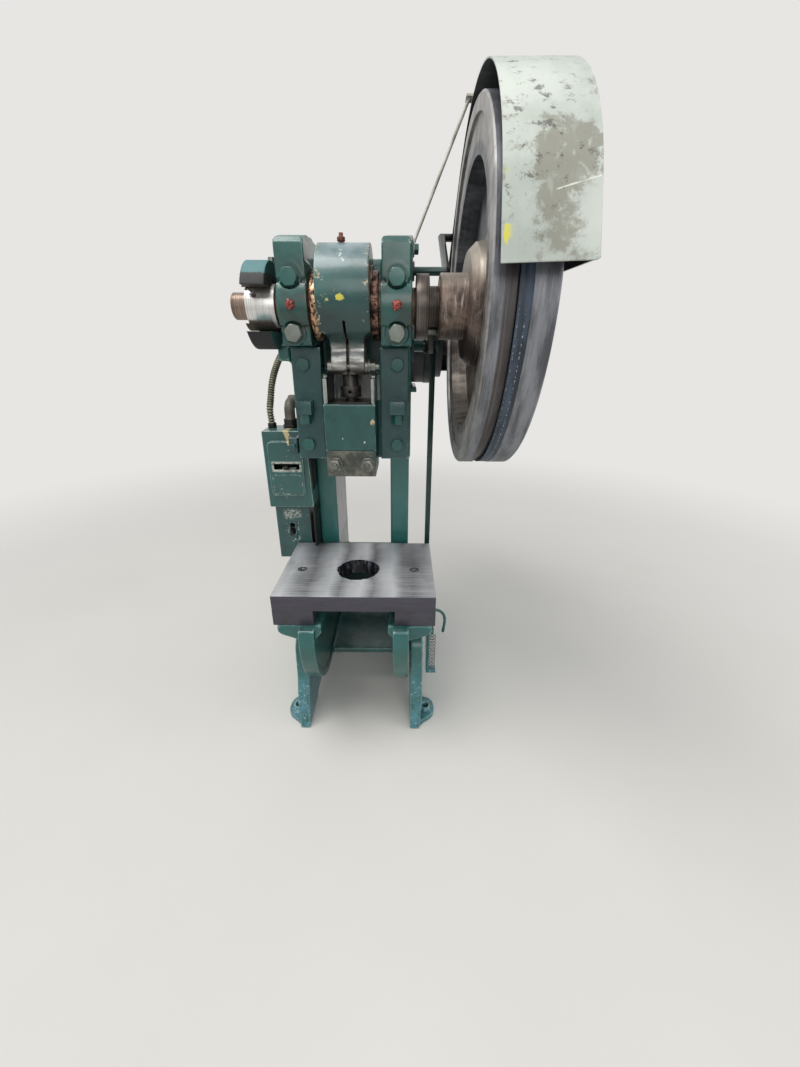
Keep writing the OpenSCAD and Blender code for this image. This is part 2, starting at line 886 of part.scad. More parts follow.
module bell(x0, x1, x2, bore) {
    difference() {
        union() {
            bar_x(motor_r + 1.5, min(x0, x1), max(x0, x1), motor_y, motor_z, 96);
            bar_x(motor_r - 12, min(x1, x2), max(x1, x2), motor_y, motor_z, 96);
        }
        for (a = [0:30:330]) bar_x(4.5, min(x1, x2) - 1, max(x1, x2) + 1,
            motor_y + 52 * cos(a + 15), motor_z + 52 * sin(a + 15));
        bar_x(bore, min(x0, x2) - 1, max(x0, x2) + 1, motor_y, motor_z);
    }
}

module motor_bells() {
    color("dimgray") {
        bell(shell_left, shell_left - 12, motor_left, 8);
        bell(shell_right, shell_right + 12, motor_right, 9.6);
    }
}

module motor_capacitor() {
    color("black") difference() {
        union() {
            bar_x(21, -62, 42, motor_y, cap_line + 21.2);
            block(-56, 36, motor_y - 16, motor_y + 16, cap_line - 4, cap_line + 8);
        }
        bar_x(motor_r, -70, 50, motor_y, motor_z, 96);
    }
}

module belt_section(s = 0) {
    polygon([[s - belt_h, 2.4 + s], [-s, s], [-s, belt_w - s], [s - belt_h, belt_w - 2.4 - s]]);
}

module belt_run(c, r, a, direction, side) {
    p = polar(c, r, a);
    run = drive_len * cos(belt_tilt);
    translate([belt_left, p[0], p[1]]) rotate([90, 0, 90]) rotate([0, 0, direction])
        translate([-1, 0, 0]) rotate([90, 0, 90]) linear_extrude(run + 2) mirror([side, 0]) belt_section(0.15);
}

module belt_arc(c, r, a, sweep) {
    translate([belt_left, c[0], c[1]]) rotate([90, 0, 90]) rotate([0, 0, a])
        rotate_extrude(angle = sweep, $fn = 144) translate([r, 0]) belt_section();
}

module drive_belt() {
    high = drive_angle + 90 - belt_tilt;
    low = drive_angle - 90 + belt_tilt;
    color("midnightblue") {
        belt_arc(crank_c, belt_r, high, 360 - high + low);
        belt_arc(pulley_c, belt_pulley_r, low, high - low);
        belt_run(crank_c, belt_r, high, drive_angle - belt_tilt, 0);
        belt_run(crank_c, belt_r, low, drive_angle + belt_tilt, 1);
    }
}

module motor_pulley() {
    mid = belt_left + belt_w / 2;
    color("gray") translate([0, motor_y, motor_z]) rotate([0, 90, 0]) rotate_extrude($fn = 72) polygon([
        [9.5, 168], [21, 168], [21, mid - 13], [pulley_r - 1, mid - 13], [pulley_r, mid - 12],
        [pulley_r, mid - 7.8], [pulley_r - 11.6, mid - 5.2], [pulley_r - 11.6, mid + 5.2],
        [pulley_r, mid + 7.8], [pulley_r, mid + 12], [pulley_r - 1, mid + 13], [9.5, mid + 13]
    ]);
}

module motor_shaft() {
    color("silver") {
        bar_x(9.5, 112, belt_left + belt_w / 2 + 20, motor_y, motor_z);
    }
}

// Boxes on the left of the frame
box_y = front_y + bolster_depth + 13.6;
box_right = -cheek_out - 4;
starter_left = box_right - starter_w;
starter_low = 420;
starter_high = starter_low + starter_h;
starter_back = box_y + 22;
starter_front = starter_back - starter_d;
box_front = starter_front + 8;
switch_right = -115;
switch_left = switch_right - switch_w;
switch_high = 418;
switch_low = switch_high - switch_h;
switch_front = box_y - 9;
switch_back = box_y + 34;
rocker_x = -138;
rocker_y = box_y - 25;
slot_z = 494;
toggle_x = -148;
toggle_y = switch_front + 4;
toggle_z = 351;

module rounded(x0, x1, z0, z1, r) {
    translate([x0 + r, z0]) square([x1 - x0 - 2 * r, z1 - z0]);
    translate([x0, z0 + r]) square([x1 - x0, z1 - z0 - 2 * r]);
    for (x = [x0 + r, x1 - r], z = [z0 + r, z1 - r]) translate([x, z]) circle(r = r, $fn = 24);
}

module oblong(x, z0, z1, r) {
    translate([x, z0 + r]) circle(r = r, $fn = 24);
    translate([x, z1 - r]) circle(r = r, $fn = 24);
    translate([x - r, z0 + r]) square([2 * r, z1 - z0 - 2 * r]);
}

module starter_box() {
    wall = 2.5;
    color("darkslategray") {
        difference() {
            block(starter_left, box_right, box_front, starter_back, starter_low, starter_high);
            block(starter_left + wall, box_right - wall, box_front - 1, starter_back - wall,
                starter_low + wall, starter_high - wall);
        }
        block(rocker_x - 14, rocker_x + 14, rocker_y - 7, starter_back - wall, slot_z - 14, slot_z - 5);
        bar_z(2, slot_z - 6, slot_z + 9, rocker_x, rocker_y);
    }
}

module starter_rocker() {
    color("black") difference() {
        union() {
            bar_z(8, slot_z - 4.5, slot_z + 3.5, rocker_x, rocker_y);
            block(rocker_x - 4, rocker_x + 4, starter_front - 6, rocker_y, slot_z - 3.5, slot_z + 2.5);
            bar_z(4, slot_z - 3.5, slot_z + 2.5, rocker_x, starter_front - 6);
        }
        bar_z(2.06, slot_z - 10, slot_z + 10, rocker_x, rocker_y);
    }
}

module switch_box() {
    wall = 2.5;
    color("darkslategray") {
        difference() {
            block(switch_left, switch_right, switch_front, switch_back, switch_low, switch_high);
            block(switch_left + wall, switch_right - wall, switch_front - 1, switch_back - wall,
                switch_low + wall, switch_high - wall);
        }
        for (x = [toggle_x - 10, toggle_x + 6]) block(x, x + 4, toggle_y - 3.5, switch_back - wall, toggle_z - 5, toggle_z + 5);
        bar_x(1.5, toggle_x - 8, toggle_x + 8, toggle_y, toggle_z);
    }
}

module switch_toggle() {
    color("black") translate([0, toggle_y, toggle_z]) rotate([20, 0, 0]) difference() {
        union() {
            bar_x(4.2, toggle_x - 5.5, toggle_x + 5.5, 0, 0);
            bar_y(3, -12, 0, toggle_x, 0);
            bar_y(4, -22, -12, toggle_x, 0);
        }
        bar_x(1.56, toggle_x - 9, toggle_x + 9, 0, 0);
    }
}

module box_covers() {
    color("darkslategray") {
        difference() {
            union() {
                block(starter_left, box_right, box_front - 2, box_front, starter_low, starter_high);
                along_y(starter_front, box_front - 2) rounded(starter_left + 6, -106, starter_low + 16, starter_high - 19, 8);
                along_y(starter_front - 1.2, starter_front) rounded(starter_left + 12, -112, starter_low + 21, slot_z - 17, 4);
            }
            along_y(starter_front - 5, box_front + 1) translate([rocker_x - 24, slot_z - 5.5]) square([48, 11]);
            along_y(starter_front + 2, box_front + 1) rounded(starter_left + 8, -108, starter_low + 18, starter_high - 21, 6);
        }
        difference() {
            union() {
                block(switch_left, switch_right, switch_front - 2.4, switch_front, switch_low, switch_high);
                along_y(switch_front - 4.4, switch_front - 2) oblong(toggle_x, toggle_z - 22, toggle_z + 22, 9);
            }
            along_y(switch_front - 6, switch_front + 1) oblong(toggle_x, toggle_z - 13, toggle_z + 13, 5.5);
        }
        for (z = [toggle_z - 29, toggle_z + 29]) bar_y(2.4, switch_front - 4, switch_front - 2, toggle_x, z);
    }
}

module box_bracket() {
    color("black") {
        block(box_right, -cheek_out, box_y - 30, box_y + 62, 332, 520);
        block(switch_right, box_right, box_y + 4, box_y + 26, 336, 376);
    }
}

elbow_x = -134;
elbow_y = box_y;
elbow_bend = 16;
elbow_r = 10;

module conduit_fittings() {
    color("gray") {
        bar_z(13 / cos(30), starter_high, starter_high + 5, elbow_x, elbow_y, 6);
        bar_z(12.5, starter_high + 5, starter_high + 16, elbow_x, elbow_y);
        bar_z(elbow_r, starter_high + 16, 597, elbow_x, elbow_y);
        translate([elbow_x, elbow_y + elbow_bend, 597]) rotate([90, 0, -90])
            rotate_extrude(angle = 90) translate([elbow_bend, 0]) circle(r = elbow_r, $fn = 32);
        bar_y(elbow_r, elbow_y + elbow_bend - 0.05, elbow_y + 30, elbow_x, 597 + elbow_bend);
        bar_y(12 / cos(30), elbow_y + 30, elbow_y + 38, elbow_x, 597 + elbow_bend, 6);
        // the nipple and nut between the two boxes
        bar_z(12 / cos(30), switch_high, starter_low, toggle_x, box_y + 6, 6);
        // glands at both ends of the conduit
        bar_z(8, starter_high, starter_high + 8.8, conduit_x, conduit_y);
        bar_x(9, motor_left - 10, motor_left, motor_y, motor_z);
        bar_x(11, motor_left - 5, motor_left, motor_y, motor_z);
    }
}

conduit_x = -168.5;
conduit_y = box_y - 6;

// Points along a smooth curve through the given ones
function catmull(a, b, c, d, t) =
    0.5 * (2 * b + (c - a) * t + (2 * a - 5 * b + 4 * c - d) * t * t + (3 * b - a - 3 * c + d) * t * t * t);

function curve(p, n) = [for (i = [0:len(p) - 2], k = [0:n - 1])
    catmull(p[max(i - 1, 0)], p[i], p[i + 1], p[min(i + 2, len(p) - 1)], k / n)];

module motor_conduit() {
    route = [
        [conduit_x, conduit_y, starter_high + 10], [conduit_x - 2, conduit_y + 3, starter_high + 32],
        [-171, 12, 612], [-170, 28, 638], [-166, 50, 664], [-160, 82, 688],
        [-153, 126, 706], [-151, 176, 713], [-150, 216, 712], [-143, 240, 706], [motor_left - 12, motor_y, motor_z]
    ];
    points = concat(curve(route, 6), [route[len(route) - 1]]);
    color("darkslategray") tube(points, conduit_r - 0.5, 10, [0.3, -0.9, 0.1]);
}

// Clutch linkage
latch_y = 50;
latch_z = 705;
rod_y = 12;
rod_x = 134;
latch_x = 121;

module latch_bracket() {
    color("darkslategray") {
        along_x(cheek_out, cheek_out + 7) polygon([[26, 676], [74, 676], [74, 716], [62, 730], [38, 730], [26, 716]]);
        bar_x(11, cheek_out + 6, latch_x - 0.5, latch_y, latch_z);
        bar_x(6, latch_x - 1, latch_x + 8.5, latch_y, latch_z);
        bar_x(9 / cos(30), latch_x + 8.5, latch_x + 15, latch_y, latch_z, 6);
    }
}

module trip_latch() {
    color("silver") difference() {
        union() {
            bar_x(13, latch_x, latch_x + 8, latch_y, latch_z);
            along_x(latch_x, latch_x + 8) {
                polygon([
                    [50, 694], [-96, 694], [-113, 703], [-116.7, 725], [-112, 733], [-106, 733],
                    [-98, 716], [-60, 714], [50, 716]
                ]);
            }
        }
        bar_x(6.06, latch_x - 1, latch_x + 10, latch_y, latch_z);
        bar_x(4.5, latch_x - 1, latch_x + 10, rod_y, latch_z);
    }
}

treadle_y = -60;
treadle_z = 160;
lever_x = 143;

module trip_rod() {
    color("darkslategray") {
        block(rod_x, rod_x + 6, rod_y - 7, rod_y + 7, treadle_z - 8, latch_z + 8);
        bar_x(4, latch_x - 3, rod_x + 1, rod_y, latch_z);
        bar_x(4, rod_x + 5, lever_x + 7, rod_y, treadle_z);
        block(rod_x + 5, rod_x + 15, rod_y - 8, rod_y + 8, latch_z - 9, latch_z + 9);
        bar_y(6, rod_y - 14, rod_y - 8, rod_x + 9, latch_z);
    }
}

module treadle_bracket() {
    color("darkslategray") {
        difference() {
            along_x(bed_flange, bed_flange + 6) {
                polygon([
                    [-112, treadle_bolt_z - 7], [-28, treadle_bolt_z - 7],
                    [-28, bed_height - 1.6], [-112, bed_height - 1.6]
                ]);
                polygon([
                    [-110, treadle_bolt_z - 6], [-34, treadle_bolt_z - 6],
                    [treadle_y + 14, treadle_z], [treadle_y, treadle_z - 14],
                    [-92, 56], [-112, 56]
                ]);
                disc(treadle_y, treadle_z, 14, 48);
            }
            for (y = [-98, -42]) bar_x(4.2, bed_flange - 1, bed_flange + 8, y, treadle_bolt_z);
        }
        bar_x(6, bed_flange + 5, lever_x + 8, treadle_y, treadle_z);
        bar_x(9, bed_flange + 5, lever_x - 0.4, treadle_y, treadle_z);
        bar_x(9 / cos(30), lever_x + 6.4, lever_x + 11, treadle_y, treadle_z, 6);
        block(bed_flange + 5, lever_x + 13, -112, -92, 56, 60);
        for (y = [-98, -42]) {
            bar_x(4.2, bed_flange - 12, bed_flange + 7, y, treadle_bolt_z);
            bar_x(7 / cos(30), bed_flange + 6, bed_flange + 12, y, treadle_bolt_z, 6);
        }
    }
}

module treadle_lever() {
    color("darkslategray") {
        difference() {
            along_x(lever_x, lever_x + 6) {
                disc(treadle_y, treadle_z, 12, 48);
                disc(rod_y, treadle_z, 9, 32);
                disc(treadle_y - 42, treadle_z, 8, 32);
                box2(treadle_y - 42, rod_y, treadle_z - 7, treadle_z + 7);
            }
            bar_x(6.06, lever_x - 1, lever_x + 7, treadle_y, treadle_z);
            bar_x(4.5, lever_x - 1, lever_x + 7, rod_y, treadle_z);
        }
        hook = [[lever_x + 4, -28, 159], [156, -28, 161], [167, -28, 159], [176, -28, 150], [180, -28, 136],
            [179, -28, 118], [177, -28, 102]];
        tube(concat(curve(hook, 3), [hook[len(hook) - 1]]), 3.4, 10, [0, 1, 0]);
    }
}

module treadle_spring() {
    color("dimgray") coil(5.5, 1.2, 60, treadle_z - 8, 11, lever_x + 5.4, treadle_y - 42);
}

// Crankshaft and what turns with it
module crankshaft() {
    color("silver") {
        bar_x(tail_d / 2, tail_x, -99, ram_y, crank_z);
        bar_x(tail_d / 2 - 1.5, tail_x - 1.5, tail_x + 1, ram_y, crank_z);
        bar_x(journal_d / 2, -100, shaft_step, ram_y, crank_z, round_fn);
        bar_x(wheel_shaft_r, shaft_step - 1, shaft_right, ram_y, crank_z, round_fn);
        for (s = [-1, 1]) bar_x(web_r, min(s * web_in, s * web_out), max(s * web_in, s * web_out), ram_y, crank_z, round_fn);
        bar_x(eccentric_d / 2, -web_in - 1, web_in + 1, ram_y, crank_z + crank_throw, round_fn);
    }
}

shaft_step = 133;

module brake_drum() {
    color("lightgray") difference() {
        bar_x(drum_d / 2, drum_left, drum_right, ram_y, crank_z, round_fn);
        bar_x(tail_d / 2, drum_left - 1, drum_right + 1, ram_y, crank_z);
        translate([drum_left + 21, ram_y, crank_z]) rotate([90 - 25, 0, 0]) cylinder(r = 3.4, h = 60);
    }
}

pin_r = 5.5;
pin_orbit = 33;
pin_angle = -75;
pin_y = ram_y + pin_orbit * cos(pin_angle);
pin_z = crank_z + pin_orbit * sin(pin_angle);
pin_travel = 8;

module clutch_collar() {
    color("dimgray") difference() {
        union() {
            bar_x(collar_d / 2, collar_left, collar_right, ram_y, crank_z, round_fn);
            bar_x(neck_r, collar_right - 1, neck_right, ram_y, crank_z, round_fn);
        }
        bar_x(journal_d / 2, collar_left - 1, neck_right + 1, ram_y, crank_z, round_fn);
        bar_x(pin_r + 0.05, collar_left + 1, neck_right + 1, pin_y, pin_z);
    }
}

module clutch_pin() {
    color("silver") bar_x(pin_r, collar_left + 1.2, neck_right - 0.2, pin_y, pin_z);
}

module wheel_retainer() {
    color("dimgray") difference() {
        bar_x(32, retainer_left, retainer_left + 9, ram_y, crank_z, round_fn);
        bar_x(wheel_shaft_r, retainer_left - 1, retainer_left + 10, ram_y, crank_z, round_fn);
    }
}

// Flywheel
module flywheel() {
    right = wheel_right;
    step = belt_left - 0.4;
    color("gray") difference() {
        translate([0, ram_y, crank_z]) rotate([0, 90, 0]) rotate_extrude($fn = 144) polygon([
            [26, hub_left], [hub_r - 2, hub_left], [hub_r, hub_left + 2], [hub_r, 171], [70, 171],
            [80, 181], [83, 198], [168, 198], [168, 172], [206, 172], [206, wheel_x],
            [wheel_r - 2, wheel_x], [wheel_r, wheel_x + 2], [wheel_r, 188], [wheel_r - 5, 188],
            [wheel_r - 5, step], [wheel_r - 13, step + 2.8], [wheel_r - 13, step + 12.2], [wheel_r, step + 15],
            [wheel_r, right - 2], [wheel_r - 2, right], [190, right], [184, 216], [180, 214],
            [86, 214], [80, 222], [40, 222], [40, right + 2], [26, right + 2]
        ]);
        // four curved slots that the clutch pin can enter
        for (q = [0:90:270]) translate([hub_left - 1, ram_y, crank_z]) rotate([90, 0, 90])
            rotate([0, 0, pin_angle - 28 + q]) {
                rotate_extrude(angle = 56) translate([pin_orbit - pin_r - 0.6, 0]) square([2 * pin_r + 1.2, 14]);
            }
    }
}

module flywheel_bush() {
    color("peru") difference() {
        bar_x(26, hub_left, wheel_right + 2, ram_y, crank_z, round_fn);
        bar_x(wheel_shaft_r + fit_gap, hub_left - 1, wheel_right + 3, ram_y, crank_z, round_fn);
    }
}

// Pitman
strap_z = crank_z + crank_throw;
clamp_z = 683;
clamp_y = -142;
clamp_half = 25;
clamp_r = 18;
screw_r = 11.9;
ball_r = 14;
ball_z = 602;
pinch_y = -147;

module pitman() {
    color("darkslategray") difference() {
        union() {
            bar_x(big_end_r, -big_end_half, big_end_half, ram_y, strap_z, 96);
            bar_z(22, 665, strap_z - 30, 0, ram_y);
            along_x(-30, 30) polygon([[-163, 720], [-156, 694], [-106, 694], [-99, 720]]);
            bar_x(clamp_r, -clamp_half, clamp_half, clamp_y, clamp_z);
            block(-clamp_half, clamp_half, clamp_y, -116, clamp_z - clamp_r, clamp_z + clamp_r);
            along_x(-clamp_half, clamp_half) polygon([[-160, 683], [-163, 722], [-100, 722], [-110, 683]]);
        }
        bar_x(eccentric_d / 2 + fit_gap, -big_end_half - 1, big_end_half + 1, ram_y, strap_z, round_fn);
        bar_z(screw_r + fit_gap, 600, 716, 0, ram_y);
        block(-1.5, 1.5, -170, ram_y, 600, 716);
        bar_x(5.1, -40, 40, pinch_y, clamp_z - 6);
        bar_z(3.5, strap_z + 50, strap_z + 70, -4, ram_y - 12);
    }
}

module pinch_bolt() {
    z = clamp_z - 6;
    color("dimgray") difference() {
        union() {
            bar_x(5, -clamp_half - 7, 46, pinch_y, z);
            bar_x(8 / cos(30), -clamp_half - 6.5, -clamp_half, pinch_y, z, 6);
            bar_x(11, clamp_half, clamp_half + 2.5, pinch_y, z);
            bar_x(9.5, clamp_half + 2.5, clamp_half + 5, pinch_y, z);
            bar_x(11, clamp_half + 5, clamp_half + 7.5, pinch_y, z);
            bar_x(8 / cos(30), clamp_half + 7.5, clamp_half + 15, pinch_y, z, 6);
        }
        bar_z(screw_r + fit_gap, 600, 716, 0, ram_y);
    }
}

module oil_plug() {
    color("sienna") {
        bar_z(3.5, strap_z + 55, strap_z + 66, -4, ram_y - 12);
        bar_z(5.5, strap_z + 66, strap_z + 71, -4, ram_y - 12);
        bar_z(3, strap_z + 71, strap_z + 76, -4, ram_y - 12);
    }
}

module adjusting_screw() {
    color("dimgray") difference() {
        union() {
            translate([0, ram_y, ball_z]) sphere(r = ball_r, $fn = 48);
            bar_z(8, ball_z, 634, 0, ram_y);
            bar_z(16, 632, 648, 0, ram_y);
            bar_z(screw_r, 648, 708, 0, ram_y);
        }
        for (a = [0:60:120]) translate([0, ram_y, 640]) rotate([0, 0, a + 30]) bar_x(2.6, -20, 20, 0, 0);
    }
}

// Ram
wall = 7;
chamber_half = 20;
pocket_half = ram_half - wall;
block_top = 552.5;
shank_top = 553;
chamber_low = ball_z - ball_r - 2.9;
retainer_low = ball_z + ball_r + 2.9;
pocket_back = -96;
stud_x = 25.7;
stud_z = 531;

module ram() {
    color("darkslategray") difference() {
        union() {
            block(-ram_half, ram_half, ram_front, gib_front + 4, ram_bottom, pocket_floor);
            block(-ram_half, ram_half, -150, guide_back - wing_gap, ram_bottom, ram_top);
            block(-ram_half, ram_half, ram_front + 6, -140, pocket_floor - 1, ram_top - 4);
            block(-wing_half, wing_half, guide_y + wing_gap, guide_back - wing_gap, 530, ram_top);
        }
        block(-pocket_half, pocket_half, -180, pocket_back, pocket_floor, ram_top + 1);
        block(-pocket_half, pocket_half, -150, pocket_back, retainer_low, pocket_floor + 1);
        block(-chamber_half, chamber_half, -150, -99, chamber_low, pocket_floor);
        // the clamp block's place and the bore for the punch shank
        block(-ram_half - 1, ram_half + 1, -170, ram_y - 0.3, ram_bottom - 1, block_top);
        bar_z(shank_d / 2 + 0.02, ram_bottom - 1, shank_top, 0, ram_y);
        for (x = [-stud_x, stud_x]) bar_y(5, ram_y - 1, -104, x, stud_z);
    }
}

module clamp_block() {
    color("darkslategray") difference() {
        block(-ram_half + 0.6, ram_half - 0.6, ram_front, ram_y - 0.6, ram_bottom, block_top - 0.2);
        bar_z(shank_d / 2 + 0.02, ram_bottom - 1, shank_top, 0, ram_y);
        for (x = [-stud_x, stud_x]) bar_y(5.4, -170, ram_y, x, stud_z);
    }
}

module clamp_studs() {
    color("gray") for (x = [-stud_x, stud_x]) {
        bar_y(5, ram_front - 17, -104, x, stud_z);
        bar_y(11.5, ram_front - 3, ram_front, x, stud_z);
        bar_y(9 / cos(30), ram_front - 12, ram_front - 3, x, stud_z, 6);
    }
}

module ball_retainer() {
    slot = 9.2;
    color("dimgray") difference() {
        block(-pocket_half + 0.2, pocket_half - 0.2, -149.8, pocket_back - 0.2, retainer_low, pocket_floor + 1);
        bar_z(slot, 600, 640, 0, ram_y);
        block(-slot, slot, ram_y, -90, 600, 640);
    }
}

left_leg();
right_leg();
horn_screws();
frame_casting();
incline_bolts();
riser_bars();
bolster();
hold_down_screws();
left_cap();
right_cap();
head_bolts();
crank_bushes();
grease_plugs();
gib_plates();
knockout_lugs();
gib_clips();
upper_shoe();
lower_shoe();
brake_linings();
brake_bolt();
brake_spring();
guard_sheet();
guard_bar();
guard_stay();
motor_mount();
motor_shell();
motor_bells();
motor_capacitor();
drive_belt();
starter_box();
switch_box();
box_covers();
box_bracket();
conduit_fittings();
motor_conduit();
latch_bracket();
treadle_bracket();
treadle_spring();
crankshaft();
brake_drum();
clutch_collar();
clutch_pin();
wheel_retainer();
flywheel();
flywheel_bush();
motor_pulley();
motor_shaft();
pitman();
pinch_bolt();
oil_plug();
adjusting_screw();
ram();
clamp_block();
clamp_studs();
ball_retainer();
starter_rocker();
switch_toggle();
trip_latch();
trip_rod();
treadle_lever();
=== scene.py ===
"""Looks of the stamping press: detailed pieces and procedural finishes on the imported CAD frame."""

import json
import math

import bmesh
import bpy
import numpy as np
from mathutils import Matrix, Vector, noise

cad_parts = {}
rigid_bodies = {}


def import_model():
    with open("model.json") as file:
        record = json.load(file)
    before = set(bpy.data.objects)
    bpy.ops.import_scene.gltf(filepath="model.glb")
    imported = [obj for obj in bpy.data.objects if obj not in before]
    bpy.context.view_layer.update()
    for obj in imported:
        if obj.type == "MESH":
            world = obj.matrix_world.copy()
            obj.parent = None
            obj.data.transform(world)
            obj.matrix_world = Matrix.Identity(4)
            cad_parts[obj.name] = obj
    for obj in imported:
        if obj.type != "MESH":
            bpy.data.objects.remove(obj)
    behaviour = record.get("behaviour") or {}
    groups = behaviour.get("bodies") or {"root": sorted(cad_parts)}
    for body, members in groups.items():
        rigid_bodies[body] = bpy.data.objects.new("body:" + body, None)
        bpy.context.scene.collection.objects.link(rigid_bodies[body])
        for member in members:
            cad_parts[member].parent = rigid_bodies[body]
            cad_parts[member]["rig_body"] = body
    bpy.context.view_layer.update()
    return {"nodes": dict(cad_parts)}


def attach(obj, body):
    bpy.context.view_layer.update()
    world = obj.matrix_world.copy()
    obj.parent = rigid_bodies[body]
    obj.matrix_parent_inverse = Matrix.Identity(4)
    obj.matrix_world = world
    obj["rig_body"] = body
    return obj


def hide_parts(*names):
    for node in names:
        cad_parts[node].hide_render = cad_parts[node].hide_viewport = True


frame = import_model()
nodes = frame["nodes"]
AXIS = AXIS_Y, AXIS_Z = (-0.131, 0.758)  # where the crankshaft's axis runs, along X
WALL = (0.80, 0.79, 0.77, 1)  # light seen behind everything


# Finishes


def srgb(r, g, b):
    """A colour given as a screen shows it, 0 to 255, as the shader takes it."""
    out = []
    for v in (r, g, b):
        v /= 255
        out.append(v / 12.92 if v <= 0.04045 else ((v + 0.055) / 1.055) ** 2.4)
    return (*out, 1.0)


class Finish:
    """A material's node tree, with short calls for what finishes are made of. Colours are 0 to 255."""

    def __init__(self, name, roughness=0.5, metallic=0.0, coat=0.0):
        self.mat = bpy.data.materials.new(name)
        self.mat.use_nodes = True
        self.tree = self.mat.node_tree
        self.tree.nodes.clear()
        self.ending = self.add("ShaderNodeOutputMaterial").inputs[0]
        self.shader = self.add("ShaderNodeBsdfPrincipled", {
            "Roughness": roughness, "Metallic": metallic, "Coat Weight": coat, "Coat Roughness": 0.15})
        self.put(self.ending, self.shader.outputs[0])
        place = self.add("ShaderNodeTexCoord")
        self.place = place.outputs["Object"]
        self.facing = place.outputs["Normal"]

    def add(self, kind, values=(), **settings):
        """A node with these settings, its sockets set or linked to these values."""
        node = self.tree.nodes.new(kind)
        for key, value in settings.items():
            setattr(node, key, value)
        for socket, value in dict(values).items():
            self.put(node.inputs[socket], value)
        return node

    def put(self, socket, value):
        if isinstance(value, bpy.types.NodeSocket):
            self.tree.links.new(value, socket)
        elif socket.type == "RGBA":
            socket.default_value = srgb(*value)
        else:
            socket.default_value = value

    def math(self, operation, a, b=0.0):
        return self.add("ShaderNodeMath", {0: a, 1: b}, operation=operation).outputs[0]

    def plus(self, a, b):
        return self.math("ADD", a, b)

    def minus(self, a, b):
        return self.math("SUBTRACT", a, b)

    def times(self, first, *others):
        for other in others:
            first = self.math("MULTIPLY", first, other)
        return first

    def most(self, a, b):
        return self.math("MAXIMUM", a, b)

    def off(self, value, at=None):
        """How far value is from at, or from 0, either way."""
        return self.math("ABSOLUTE", value if at is None else self.minus(value, at))

    def length(self, a, b):
        return self.math("SQRT", self.plus(self.times(a, a), self.times(b, b)))

    def step(self, value, low, high, smooth=True):
        """0 where value is at low, 1 where it is at high."""
        kind = "SMOOTHSTEP" if smooth else "LINEAR"
        values = {"Value": value, "From Min": low, "From Max": high}
        return self.add("ShaderNodeMapRange", values, interpolation_type=kind).outputs["Result"]

    def stretch(self, scale=(1, 1, 1), at=None, move=(0, 0, 0)):
        """Places scaled and moved, for noise with a grain or with another pattern."""
        values = {"Vector": at or self.place, "Scale": scale, "Location": move}
        return self.add("ShaderNodeMapping", values).outputs[0]

    def noise(self, scale, detail=4, rough=0.55, at=None, warp=0.0):
        values = {"Vector": at or self.place, "Scale": scale, "Detail": detail, "Roughness": rough}
        return self.add("ShaderNodeTexNoise", {**values, "Distortion": warp}).outputs["Fac"]

    def grain(self, stretch, detail=4, rough=0.6, at=None):
        """Noise with a grain: stretch is its scale along each axis."""
        return self.noise(1, detail, rough, at=self.stretch(stretch, at=at))

    def patch(self, low, high, *noise, **more):
        """Patches of noise: 0 where it is at low, 1 where it is at high."""
        return self.step(self.noise(*noise, **more), low, high)

    def swing(self, width, *noise):
        """Noise about 0, as wide as given."""
        return self.times(self.minus(self.noise(*noise), 0.5), width)

    def rubbed(self, low, high, floor, *noise):
        """Edges rubbed in places, the more the higher noise and floor are."""
        return self.step(self.times(self.mark("edge"), self.plus(self.noise(*noise), floor)), low, high)

    def mix(self, share, a, b):
        return self.add("ShaderNodeMix", {0: share, 6: a, 7: b}, data_type="RGBA").outputs[2]

    def tint(self, under, over, *shares):
        """One colour laid over another, as strong as the product of the shares."""
        return self.mix(self.times(*shares), under, over)

    def ramp(self, value, colours):
        """Colours at even steps of value, from 0 to 1."""
        node = self.add("ShaderNodeValToRGB", {0: value})
        stops = node.color_ramp.elements
        for i, colour in enumerate(colours):
            at = i / (len(colours) - 1)
            stop = stops[i] if i < 2 else stops.new(at)
            stop.position = at
            stop.color = srgb(*colour)
        return node.outputs[0]

    def parts(self, vector=None):
        return self.add("ShaderNodeSeparateXYZ", {0: vector or self.place}).outputs

    def out(self, axis):
        """How far the surface faces along X (0), Y (1) or Z (2), -1 to 1."""
        return self.parts(self.facing)[axis]

    def polar(self, centre, lap=1.0):
        """Place as (x, distance from an axis along X, angle round it times lap)."""
        x, y, z = self.parts()
        dy = self.minus(y, centre[0])
        dz = self.minus(z, centre[1])
        angle = self.times(self.math("ARCTAN2", dz, self.times(dy, -1.0)), lap)
        return self.add("ShaderNodeCombineXYZ", {0: x, 1: self.length(dy, dz), 2: angle}).outputs[0]

    def near(self, centre, half, soft=0.001):
        """1 inside a box given by its middle and half sizes, 0 outside; None leaves an axis free."""
        found = [self.step(self.off(value, at), reach + soft, reach)
                 for value, at, reach in zip(self.parts(), centre, half) if at is not None]
        return self.times(*found)

    def border(self, x, z, outer, inner, soft, inner_soft):
        """1 between two upright rectangles about (x, z), given by their half sizes."""
        wide = self.near((x, None, z), (outer[0], 0, outer[1]), soft)
        return self.minus(wide, self.near((x, None, z), (inner[0], 0, inner[1]), inner_soft))

    def spot(self, x_at, z_at, radius, rag=0.018, tall=1.0):
        """A ragged spot seen from the front."""
        x, y, z = self.parts()
        away = self.length(self.minus(x, x_at), self.math("DIVIDE", self.minus(z, z_at), tall))
        shape = self.step(self.plus(away, self.swing(rag, 190, 5, 0.65)), radius, radius * 0.85)
        return self.times(shape, self.step(self.out(1), -0.3, -0.6))

